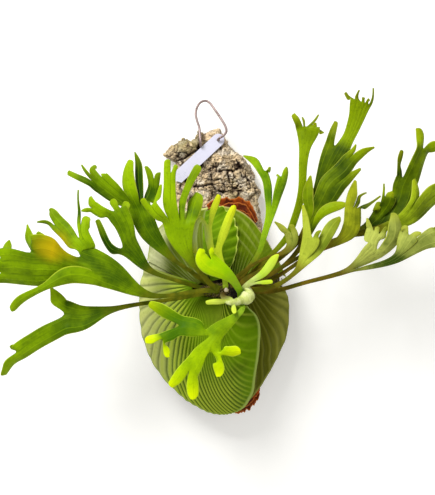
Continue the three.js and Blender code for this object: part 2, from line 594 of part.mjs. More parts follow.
function holeCutters([x, z]) {
  const room = wireRadius + fitGap;
  const hole = new THREE.CylinderGeometry(room, room, slabThickness * 2, 12);
  hole.translate(x, -slabThickness, z);
  const length = wireTailLength + room * 2;
  const groove = new THREE.BoxGeometry(room * 2, (wireTailOut + room) * 2, length);
  groove.translate(x, 0, z + room - length / 2);
  const height = wireTailBend + 2 + room;
  const turn = new THREE.BoxGeometry(room * 2, (wireTailOut + wireTailBend) * 2, height);
  turn.translate(x, 0, z + room - height / 2);
  return [hole, groove, turn];
}

// The plant label is a plain strip with one round end, threaded on the bail.
function labelGeometry() {
  const half = labelWidth / 2;
  const strip = new THREE.Shape();
  strip.absarc(0, 0, half, -Math.PI / 2, Math.PI / 2, false);
  strip.lineTo(half - labelLength + labelNotch, half);
  strip.lineTo(half - labelLength, 0);
  strip.lineTo(half - labelLength + labelNotch, -half);
  strip.closePath();
  const hole = new THREE.Path();
  hole.absarc(0, 0, wireRadius + fitGap * 2, 0, Math.PI * 2, true);
  strip.holes.push(hole);
  const settings = { depth: labelThickness, bevelEnabled: false, curveSegments: 7 };
  const geometry = new THREE.ExtrudeGeometry(strip, settings);
  geometry.rotateZ(THREE.MathUtils.degToRad(labelTilt - 90));
  geometry.rotateX(Math.PI / 2);
  geometry.translate(wireHoles[1][0], -labelOut, wireHoles[1][1]);
  return geometry;
}

// The crown is a short thick rhizome, an uneven ellipsoid.
function crownGeometry(grow) {
  const geometry = new THREE.SphereGeometry(1, 24, 14);
  const position = geometry.attributes.position;
  for (let i = 0; i < position.count; i += 1) {
    const unit = new THREE.Vector3().fromBufferAttribute(position, i);
    const uneven = 1 + 0.04 * Math.sin(unit.x * 9 + unit.z * 5) * Math.sin(unit.z * 7 - unit.y * 6);
    position.setXYZ(
      i,
      crown.x + unit.x * (crown.halfLength * uneven + grow),
      -crown.out + unit.y * (crown.halfDepth * uneven + grow),
      crown.z + unit.z * (crown.halfHeight * uneven + grow),
    );
  }
  return geometry;
}

function ballGeometry() {
  const { rings, around } = ball;
  const corners = [];
  for (let ring = 0; ring < rings; ring += 1) {
    const reach = ball.tuck * (1 - (ring / rings) ** ball.crowding);
    for (let i = 0; i < around; i += 1) {
      const angle = (i / around) * Math.PI * 2;
      const x = ball.x + Math.cos(angle) * ball.halfWidth * reach;
      const z = ball.z + Math.sin(angle) * ball.halfHeight * reach;
      corners.push(x, -domeOut(x, z), z);
    }
  }
  for (let i = 0; i < around; i += 1) {
    corners.push(corners[i * 3], -ball.foot, corners[i * 3 + 2]);
  }
  corners.push(ball.x, -domeOut(ball.x, ball.z), ball.z, ball.x, -ball.foot, ball.z);
  const back = rings * around;
  const index = [];
  for (let i = 0; i < around; i += 1) {
    const next = (i + 1) % around;
    for (let ring = 0; ring < rings - 1; ring += 1) {
      const a = ring * around;
      const b = a + around;
      index.push(a + i, a + next, b + next, a + i, b + next, b + i);
    }
    const last = back - around;
    index.push(last + i, last + next, back + around);
    index.push(back + i, back + next, next, back + i, next, i);
    index.push(back + around + 1, back + next, back + i);
  }
  const geometry = new THREE.BufferGeometry();
  geometry.setAttribute('position', new THREE.BufferAttribute(new Float32Array(corners), 3));
  geometry.setIndex(index);
  return geometry;
}

const colours = {
  bark: 0xa8957c, wire: 0x8a7a78, label: 0xe4e0ec, roots: 0x4a3420, crown: 0x2e2016, bud: 0xcfc8a0,
  oldShield: 0x8a3a14, shield: 0x5f8420, left: 0x6f9a14, right: 0x93a02c, young: 0xacd61c,
};

function colourOf(name) {
  if (name.startsWith('shield_old')) return colours.oldShield;
  if (name.startsWith('shield')) return colours.shield;
  if (name.startsWith('left')) return colours.left;
  if (name.startsWith('right')) return colours.right;
  return colours.young;
}

const group = new THREE.Group();

function add(name, geometry, colour, roughness = 0.8, metalness = 0) {
  const mesh = new THREE.Mesh(geometry, material(colour, roughness, metalness));
  mesh.name = name;
  group.add(mesh);
}

const crownRoom = crownGeometry(fitGap);
const budGeometry = new THREE.SphereGeometry(bud.radius, 14, 10);
budGeometry.translate(bud.x, -bud.out, bud.z);

add('bark_slab', cut(slabGeometry(), wireHoles.flatMap(holeCutters)), colours.bark, 0.95);
add('hanger_wire', tubeGeometry(wirePoints(), wireRadius, 4, 76), colours.wire, 0.45, 0.8);
add('label', labelGeometry(), colours.label, 0.5);
add('root_ball', cut(ballGeometry(), [crownRoom]), colours.roots, 1);
add('crown', cut(crownGeometry(0), Object.values(fronds).map(socketGeometry)), colours.crown, 1);
add('crown_bud', cut(budGeometry, [crownRoom]), colours.bud, 0.9);
for (const [name, shape] of Object.entries(shields)) {
  add(name, cut(shieldGeometry(shape), [crownRoom]), colourOf(name), 0.6);
}
for (const [name, frond] of Object.entries(fronds)) {
  add(name, frondGeometry(frond), colourOf(name), 0.55);
}

export default group;
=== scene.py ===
# Staghorn fern on a slab of cork bark, dressed around its imported model.
# Given points are millimetres: x, distance out from the slab's flat back, and z. Meshes are metres.
import math

import bmesh
import bpy
import numpy as np
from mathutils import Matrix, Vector


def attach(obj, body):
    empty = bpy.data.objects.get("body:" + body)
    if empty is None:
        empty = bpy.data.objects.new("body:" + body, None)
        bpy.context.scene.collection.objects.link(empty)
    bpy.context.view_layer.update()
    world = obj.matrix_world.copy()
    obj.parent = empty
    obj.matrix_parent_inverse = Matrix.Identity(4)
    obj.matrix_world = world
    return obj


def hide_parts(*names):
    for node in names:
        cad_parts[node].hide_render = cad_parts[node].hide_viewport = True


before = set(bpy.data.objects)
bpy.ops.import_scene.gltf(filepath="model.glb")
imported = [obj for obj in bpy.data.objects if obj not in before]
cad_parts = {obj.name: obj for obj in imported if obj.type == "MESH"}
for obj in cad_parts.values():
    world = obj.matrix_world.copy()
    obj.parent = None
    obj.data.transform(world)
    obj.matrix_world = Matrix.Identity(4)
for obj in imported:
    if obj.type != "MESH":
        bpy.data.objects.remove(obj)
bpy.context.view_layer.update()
print("frame loaded")

bpy.context.scene.view_settings.view_transform = "Standard"
millimetre = 0.001
frontward = np.array([0.0, -1.0, 0.0])
fullTurn = 2 * math.pi


# Numbers over space

def eased(value, low, high):
    # 0 at low, 1 at high, and a smooth S between, whichever of the two is the larger.
    part = np.clip((value - low) / (high - low), 0, 1)
    return part * part * (3 - 2 * part)


def bell(value, width):
    # E to the minus square of the value over the width: 1 at 0, and almost 0 at twice the width.
    return np.exp(-(value / width) ** 2)


def unit(vectors):
    # Each vector divided by its own length.
    return vectors / np.maximum(np.linalg.norm(vectors, axis=-1, keepdims=True), 1e-9)


def stacked(*parts):
    # Arrays or numbers of x, y and z as one array of points.
    return np.stack(np.broadcast_arrays(*parts), axis=-1)


def turns(count):
    # Angles at equal steps, once round.
    return np.arange(count) * fullTurn / count


hashSettings = {"steps": (73856093, 19349663, 83492791), "seedStep": 2654435, "fold": 1274126177,
                "shifts": (13, 16), "span": 0xFFFFF}


def hashed(cells, seed):
    # Whole-number places turned into repeatable numbers from 0 to 1, by multiplying and folding their bits.
    first, second = hashSettings["shifts"]
    bits = cells @ np.array(hashSettings["steps"]) + seed * hashSettings["seedStep"]
    bits = (bits ^ (bits >> first)) * hashSettings["fold"]
    return ((bits ^ (bits >> second)) & hashSettings["span"]) / hashSettings["span"]


def softNoise(points, size, seed=0):
    # Random values on the corners of cubes of this size, blended smoothly across each cube, from -1 to 1.
    home = np.floor(points / size).astype(np.int64)
    part = eased(points / size - home, 0, 1)
    total = np.zeros(points.shape[:-1])
    for corner in np.ndindex(2, 2, 2):
        share = np.prod(np.where(np.array(corner) == 1, part, 1 - part), axis=-1)
        total += share * hashed(home + np.array(corner), seed)
    return total * 2 - 1


def layeredNoise(points, size, layers, seed=0):
    # Soft noise summed over layers, each half the size and half the height of the one before.
    return sum(softNoise(points, size / 2 ** k, seed + k) / 2 ** k for k in range(layers))


def cellNoise(points, size, seed=0):
    # One random point in each cube: the distances to the nearest two, and the nearest one's own number.
    home = np.floor(points / size).astype(np.int64)
    first = np.full(points.shape[:-1], np.inf)
    second = first.copy()
    own = np.zeros_like(first)
    for step in np.ndindex(3, 3, 3):
        cell = home + np.array(step) - 1
        centre = cell + np.stack([hashed(cell, seed + k) for k in range(3)], axis=-1)
        away = np.linalg.norm(centre - points / size, axis=-1)
        nearer = away < first
        second = np.where(nearer, first, np.minimum(second, away))
        own = np.where(nearer, hashed(cell, seed + 3), own)
        first = np.where(nearer, away, first)
    return first, second, own


def lineThrough(points, t):
    # A smooth curve through points at t from 0 to 1: in each span a cubic whose end slopes come from the
    # neighbouring points, weighed by the square roots of the gaps between them.
    line = np.asarray(points, float)
    line = np.vstack([2 * line[0] - line[1], line, 2 * line[-1] - line[-2]])
    spans = len(line) - 3
    at = np.clip(np.asarray(t, float) * spans, 0, spans - 1e-9)
    k = at.astype(int)
    w = (at - k)[..., None]
    a, b, c, d = (line[k + j] for j in range(4))
    near, here, far = (np.sqrt(np.linalg.norm(q - p, axis=-1, keepdims=True))
                       for p, q in ((a, b), (b, c), (c, d)))
    leave = ((b - a) / near - (c - a) / (near + here) + (c - b) / here) * here
    arrive = ((c - b) / here - (d - b) / (here + far) + (d - c) / far) * here
    square = 3 * (c - b) - 2 * leave - arrive
    cube = 2 * (b - c) + leave + arrive
    return b + leave * w + square * w ** 2 + cube * w ** 3


# Meshes

def newPiece(name, points, faces, values, materials, closed=False):
    # A mesh object at the origin from points in millimetres. Each of its values is one number for each point.
    # A closed one has its faces turned outwards.
    mesh = bpy.data.meshes.new(name)
    places = np.asarray(points).reshape(-1, 3) * millimetre
    mesh.from_pydata(places.tolist(), [], [list(face) for face in faces])
    for title, numbers in values.items():
        layer = mesh.attributes.new(title, "FLOAT", "POINT")
        layer.data.foreach_set("value", np.asarray(numbers, np.float32).ravel())
    mesh.polygons.foreach_set("use_smooth", np.ones(len(mesh.polygons), bool))
    for material in materials:
        mesh.materials.append(material)
    if closed:
        turnOutwards(mesh)
    piece = bpy.data.objects.new(name, mesh)
    bpy.context.scene.collection.objects.link(piece)
    return piece


def turnOutwards(mesh):
    # Works out afresh which way is out for every face of a closed mesh.
    work = bmesh.new()
    work.from_mesh(mesh)
    bmesh.ops.recalc_face_normals(work, faces=work.faces)
    work.to_mesh(mesh)
    work.free()


def gridFaces(rows, columns, wrapped=False, first=0):
    # The four corners of each cell of a grid of points. Wrapped joins the last column to the first.
    index = np.arange(rows * columns).reshape(rows, columns) + first
    left, right = (index, np.roll(index, -1, axis=1)) if wrapped else (index[:, :-1], index[:, 1:])
    return np.stack([left[:-1], right[:-1], right[1:], left[1:]], axis=-1).reshape(-1, 4)


def closedRings(name, rings, ends, values, material):
    # Rings of points, joined ring to ring, and closed by a fan of faces to one point at each end.
    rows, around = rings.shape[:2]
    points = np.vstack([rings.reshape(-1, 3), *ends])
    index = np.arange(around)
    after = np.roll(index, -1)
    startFan = stacked(after, index, rows * around)
    endFan = stacked(index, after, rows * around + 1)
    endFan[:, :2] += (rows - 1) * around
    faces = [*gridFaces(rows, around, wrapped=True).tolist(), *startFan.tolist(), *endFan.tolist()]
    full = {title: np.append(np.ravel(numbers), [numbers[0].mean(), numbers[-1].mean()])
            for title, numbers in values.items()}
    return newPiece(name, points, faces, full, [material], closed=True)


def ringOf(aside, above, sides):
    # The directions of a ring's points, turning from the aside axis to the above axis.
    turn = turns(sides)[:, None]
    return aside[..., None, :] * np.cos(turn) + above[..., None, :] * np.sin(turn)


def tubesAlong(paths, radii, sides):
    # Rings of points carried along many paths at once. Each ring stands square to its path, between a side
    # axis and an up axis. The side axis is square to a slant that no path follows.
    slant = np.array([0.31, 0.87, 0.38])
    along = unit(np.gradient(paths, axis=1))
    aside = unit(np.cross(along, slant))
    rings = ringOf(aside, np.cross(along, aside), sides)
    return paths[:, :, None] + np.asarray(radii)[..., None, None] * rings


def tubeFaces(paths, stations, sides):
    # The faces of many tubes, with both ends closed by one many-sided face.
    faces = []
    for path in range(paths):
        first = path * stations * sides
        faces += gridFaces(stations, sides, wrapped=True, first=first).tolist()
        faces.append(list(range(first + sides - 1, first - 1, -1)))
        last = first + (stations - 1) * sides
        faces.append(list(range(last, last + sides)))
    return faces


def finish(piece, slot, *nodes):
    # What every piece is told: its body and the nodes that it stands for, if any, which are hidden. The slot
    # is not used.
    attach(piece, "root")
    if nodes:
        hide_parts(*nodes)


# Materials

def colour(red, green, blue):
    # Screen colour, 0 to 255, as linear light.
    part = np.array([red, green, blue]) / 255
    return (*np.where(part <= 0.04045, part / 12.92, ((part + 0.055) / 1.055) ** 2.4), 1.0)


def put(tree, kind, settings=None, sockets=None):
    # A new node. A socket given for an input is linked to it, and anything else is the input's value.
    made = tree.nodes.new("ShaderNode" + kind)
    for key, value in (settings or {}).items():
        setattr(made, key, value)
    for key, value in (sockets or {}).items():
        if isinstance(value, bpy.types.NodeSocket):
            tree.links.new(value, made.inputs[key])
        else:
            made.inputs[key].default_value = value
    return made


def painted(tree, base, *coats):
    # A base colour with coats laid over it in turn, each given as its mask and its colour.
    for mask, coat in coats:
        base = put(tree, "Mix", {"data_type": "RGBA"}, {0: mask, 6: base, 7: coat}).outputs[2]
    return base


def ranged(tree, value, low, high, toLow=0.0, toHigh=1.0):
    # From toLow where the value is low to toHigh where it is high, with a smooth S between.
    sockets = {"Value": value, "From Min": low, "From Max": high, "To Min": toLow, "To Max": toHigh}
    return put(tree, "MapRange", {"interpolation_type": "SMOOTHSTEP"}, sockets).outputs[0]


def calculated(tree, operation, first, second):
    return put(tree, "Math", {"operation": operation}, {0: first, 1: second}).outputs[0]


def times(tree, first, second):
    return calculated(tree, "MULTIPLY", first, second)


def attribute(tree, title):
    # A value that the mesh holds for each of its points.
    return put(tree, "Attribute", {"attribute_name": title, "attribute_type": "GEOMETRY"}).outputs["Fac"]


def noise(tree, scale, detail=3.0, roughness=0.5, stretch=(1, 1, 1)):
    # Noise over the object's own coordinates, each first multiplied by its part of the stretch.
    place = put(tree, "TexCoord").outputs["Object"]
    place = put(tree, "Mapping", None, {"Vector": place, "Scale": stretch}).outputs["Vector"]
    sockets = {"Vector": place, "Scale": scale, "Detail": detail, "Roughness": roughness}
    return put(tree, "TexNoise", None, sockets).outputs["Fac"]


def surfaceGroup(name, colours, numbers, paint):
    # A node group with these inputs. Its colour, roughness and height are what paint gives back.
    group = bpy.data.node_groups.new(name, "ShaderNodeTree")
    for title in colours:
        group.interface.new_socket(title, in_out="INPUT", socket_type="NodeSocketColor")
    for title, value in numbers.items():
        socket = group.interface.new_socket(title, in_out="INPUT", socket_type="NodeSocketFloat")
        socket.default_value = value
    for title, kind in (("Color", "Color"), ("Roughness", "Float"), ("Height", "Float")):
        group.interface.new_socket(title, in_out="OUTPUT", socket_type="NodeSocket" + kind)
    given = group.nodes.new("NodeGroupInput").outputs
    made = group.nodes.new("NodeGroupOutput").inputs
    for socket, target in zip(paint(group, given), made):
        group.links.new(socket, target)
    return group


def finishedMaterial(name, group, values, bump=0.4, bumpDepth=0.0006, **plain):
    # A material whose colour, roughness and relief come from a node group with these values, where three
    # numbers are a screen colour. Plain values are set on the shader itself.
    material = bpy.data.materials.new(name)
    material.use_nodes = True
    tree = material.node_tree
    shader = tree.nodes["Principled BSDF"]
    inputs = {title: colour(*value) if isinstance(value, tuple) else value for title, value in values.items()}
    surface = put(tree, "Group", {"node_tree": group}, inputs)
    relief = {"Strength": bump, "Distance": bumpDepth, "Height": surface.outputs["Height"]}
    tree.links.new(surface.outputs["Color"], shader.inputs["Base Color"])
    tree.links.new(surface.outputs["Roughness"], shader.inputs["Roughness"])
    tree.links.new(put(tree, "Bump", None, relief).outputs["Normal"], shader.inputs["Normal"])
    for title, value in plain.items():
        shader.inputs[title.replace("_", " ")].default_value = value
    return material


def paintLeaf(group, given):
    # From deep to fresh by each lobe's own tone, which holds painted light and shade as well as the lobe's
    # own colour, and a soft mottle, with painted shade along the folds between lobes, paler veins, tip colour
    # towards the tips, pale margins, stalk colour up to the blade, and one patch of another colour.
    broad = noise(group, 34.0)
    fine = noise(group, 240.0, 5.0, 0.6)
    streak = noise(group, 90.0)
    lobe = attribute(group, "mid")
    tone = calculated(group, "ADD", attribute(group, "tone"), ranged(group, broad, 0.3, 0.7, -0.2, 0.2))
    # Painted shade in the creases between lobes, where the lobe value falls to 0.
    foldShade = times(group, ranged(group, lobe, 0.22, 0.0), ranged(group, broad, 0.42, 0.62))
    thin = calculated(group, "PINGPONG", times(group, lobe, 4.0), 0.5)
    minor = times(group, ranged(group, thin, 0.38, 0.5), 0.5)
    veins = calculated(group, "MAXIMUM", ranged(group, lobe, 0.88, 1.0), minor)
    margin = ranged(group, attribute(group, "edge"), 0.8, 0.97)
    bare = painted(group, given["Stalk"], (ranged(group, streak, 0.35, 0.65, 0.0, 0.5), given["Deep"]))
    shade = painted(
        group, given["Deep"],
        (ranged(group, tone, 0.0, 1.0), given["Fresh"]),
        (ranged(group, fine, 0.5, 0.75, 0.0, 0.35), given["Deep"]),
        (times(group, foldShade, given["Fold Strength"]), given["Deep"]),
        (times(group, veins, given["Vein Strength"]), given["Vein"]),
        (times(group, attribute(group, "tip"), given["Tip Strength"]), given["Tip"]),
        (times(group, margin, given["Margin Strength"]), given["Margin"]),
        (attribute(group, "stalk"), bare),
        (attribute(group, "patch"), given["Patch"]),
    )
    height = calculated(group, "ADD", fine, times(group, veins, 1.4))
    return shade, ranged(group, fine, 0.3, 0.8, 0.4, 0.62), height


def paintShield(group, given):
    # Green to pale by tone, mottled, with painted shade in the furrows, pale ribs that are partly vein colour
    # and partly painted highlight, and a pale rim.
    broad = noise(group, 30.0)
    fine = noise(group, 230.0, 5.0, 0.6)
    shade = painted(
        group, given["Dark"],
        (ranged(group, broad, 0.3, 0.6, 0.45, 1.0), given["Green"]),
        (attribute(group, "tone"), given["Pale"]),
        (attribute(group, "furrowShade"), given["Dark"]),
        (ranged(group, fine, 0.5, 0.8, 0.0, 0.35), given["Dark"]),
        (attribute(group, "rib"), given["Rib"]),
        (attribute(group, "rim"), given["Rim"]),
    )
    return shade, ranged(group, fine, 0.3, 0.8, 0.45, 0.65), fine


def paintFibre(group, given):
    # Dead and woody stuff: two browns streaked together, darker by its shade and paler by its pale value.
    # Where a piece sets these by its relief, they are painted shade in its dips and painted light on its
    # rises.
    streaks = noise(group, given["Scale"], 5.0, 0.65, (1, 1, 0.25))
    fine = noise(group, 420.0)
    shade = painted(
        group, given["Dark"],
        (ranged(group, streaks, 0.36, 0.64), given["Light"]),
        (ranged(group, fine, 0.55, 0.75, 0.0, 0.6), given["Bright"]),
        (attribute(group, "shade"), given["Dark"]),
        (attribute(group, "pale"), given["Bright"]),
    )
    height = calculated(group, "ADD", streaks, times(group, fine, 0.4))
    return shade, ranged(group, streaks, 0.3, 0.7, 0.7, 0.95), height


def paintPlain(group, given):
    # A smooth made finish with faint clouding and small scuffs.
    clouds = noise(group, 60.0, 4.0)
    scuffs = noise(group, 350.0, 2.0, stretch=(1, 1, 4))
    wear = times(group, ranged(group, clouds, 0.4, 0.7), ranged(group, scuffs, 0.4, 0.7))
    gloss = ranged(group, wear, 0.0, 1.0, given["Gloss"], given["Dull"])
    return painted(group, given["Body"], (wear, given["Worn"])), gloss, scuffs


def paintBark(group, given):
    # Each plate its own grey or tan, pale in clouds, dark in cracks and grain, olive where lichen grows.
    clouds = noise(group, 70.0, 4.0)
    grain = noise(group, 380.0, 5.0, 0.7)
    lichen = times(group, attribute(group, "lichen"), ranged(group, clouds, 0.3, 0.5))
    shade = painted(
        group, given["Grey"],
        (attribute(group, "plate"), given["Tan"]),
        (ranged(group, clouds, 0.46, 0.62, 0.0, 0.85), given["Light"]),
        (ranged(group, grain, 0.5, 0.38, 0.0, 0.8), given["Deep"]),
        (lichen, given["Lichen"]),
        (attribute(group, "crack"), given["Deep"]),
    )
    return shade, ranged(group, grain, 0.3, 0.7, 0.8, 1.0), calculated(group, "ADD", grain, clouds)


leafColours = ("Fresh", "Deep", "Tip", "Stalk", "Margin", "Patch", "Vein")
# Fold Strength is how much painted shade darkens the creases between lobes.
leafStrengths = {"Vein Strength": 0.25, "Margin Strength": 0.7, "Tip Strength": 0.5, "Fold Strength": 0.5}
leafSurface = surfaceGroup("leafSurface", leafColours, leafStrengths, paintLeaf)
shieldColours = ("Green", "Dark", "Pale", "Rib", "Rim")
shieldSurface = surfaceGroup("shieldSurface", shieldColours, {}, paintShield)
fibreSurface = surfaceGroup("fibreSurface", ("Light", "Dark", "Bright"), {"Scale": 90.0}, paintFibre)
plainSurface = surfaceGroup("plainSurface", ("Body", "Worn"), {"Gloss": 0.35, "Dull": 0.6}, paintPlain)
barkSurface = surfaceGroup("barkSurface", ("Grey", "Tan", "Light", "Deep", "Lichen"), {}, paintBark)
print("node groups built")


# Fronds: each is a tree of blades from its foot in the crown to its tips. A point is x, out, z, half width.

def blade(points, *forks):
    return {"points": points, "forks": forks}


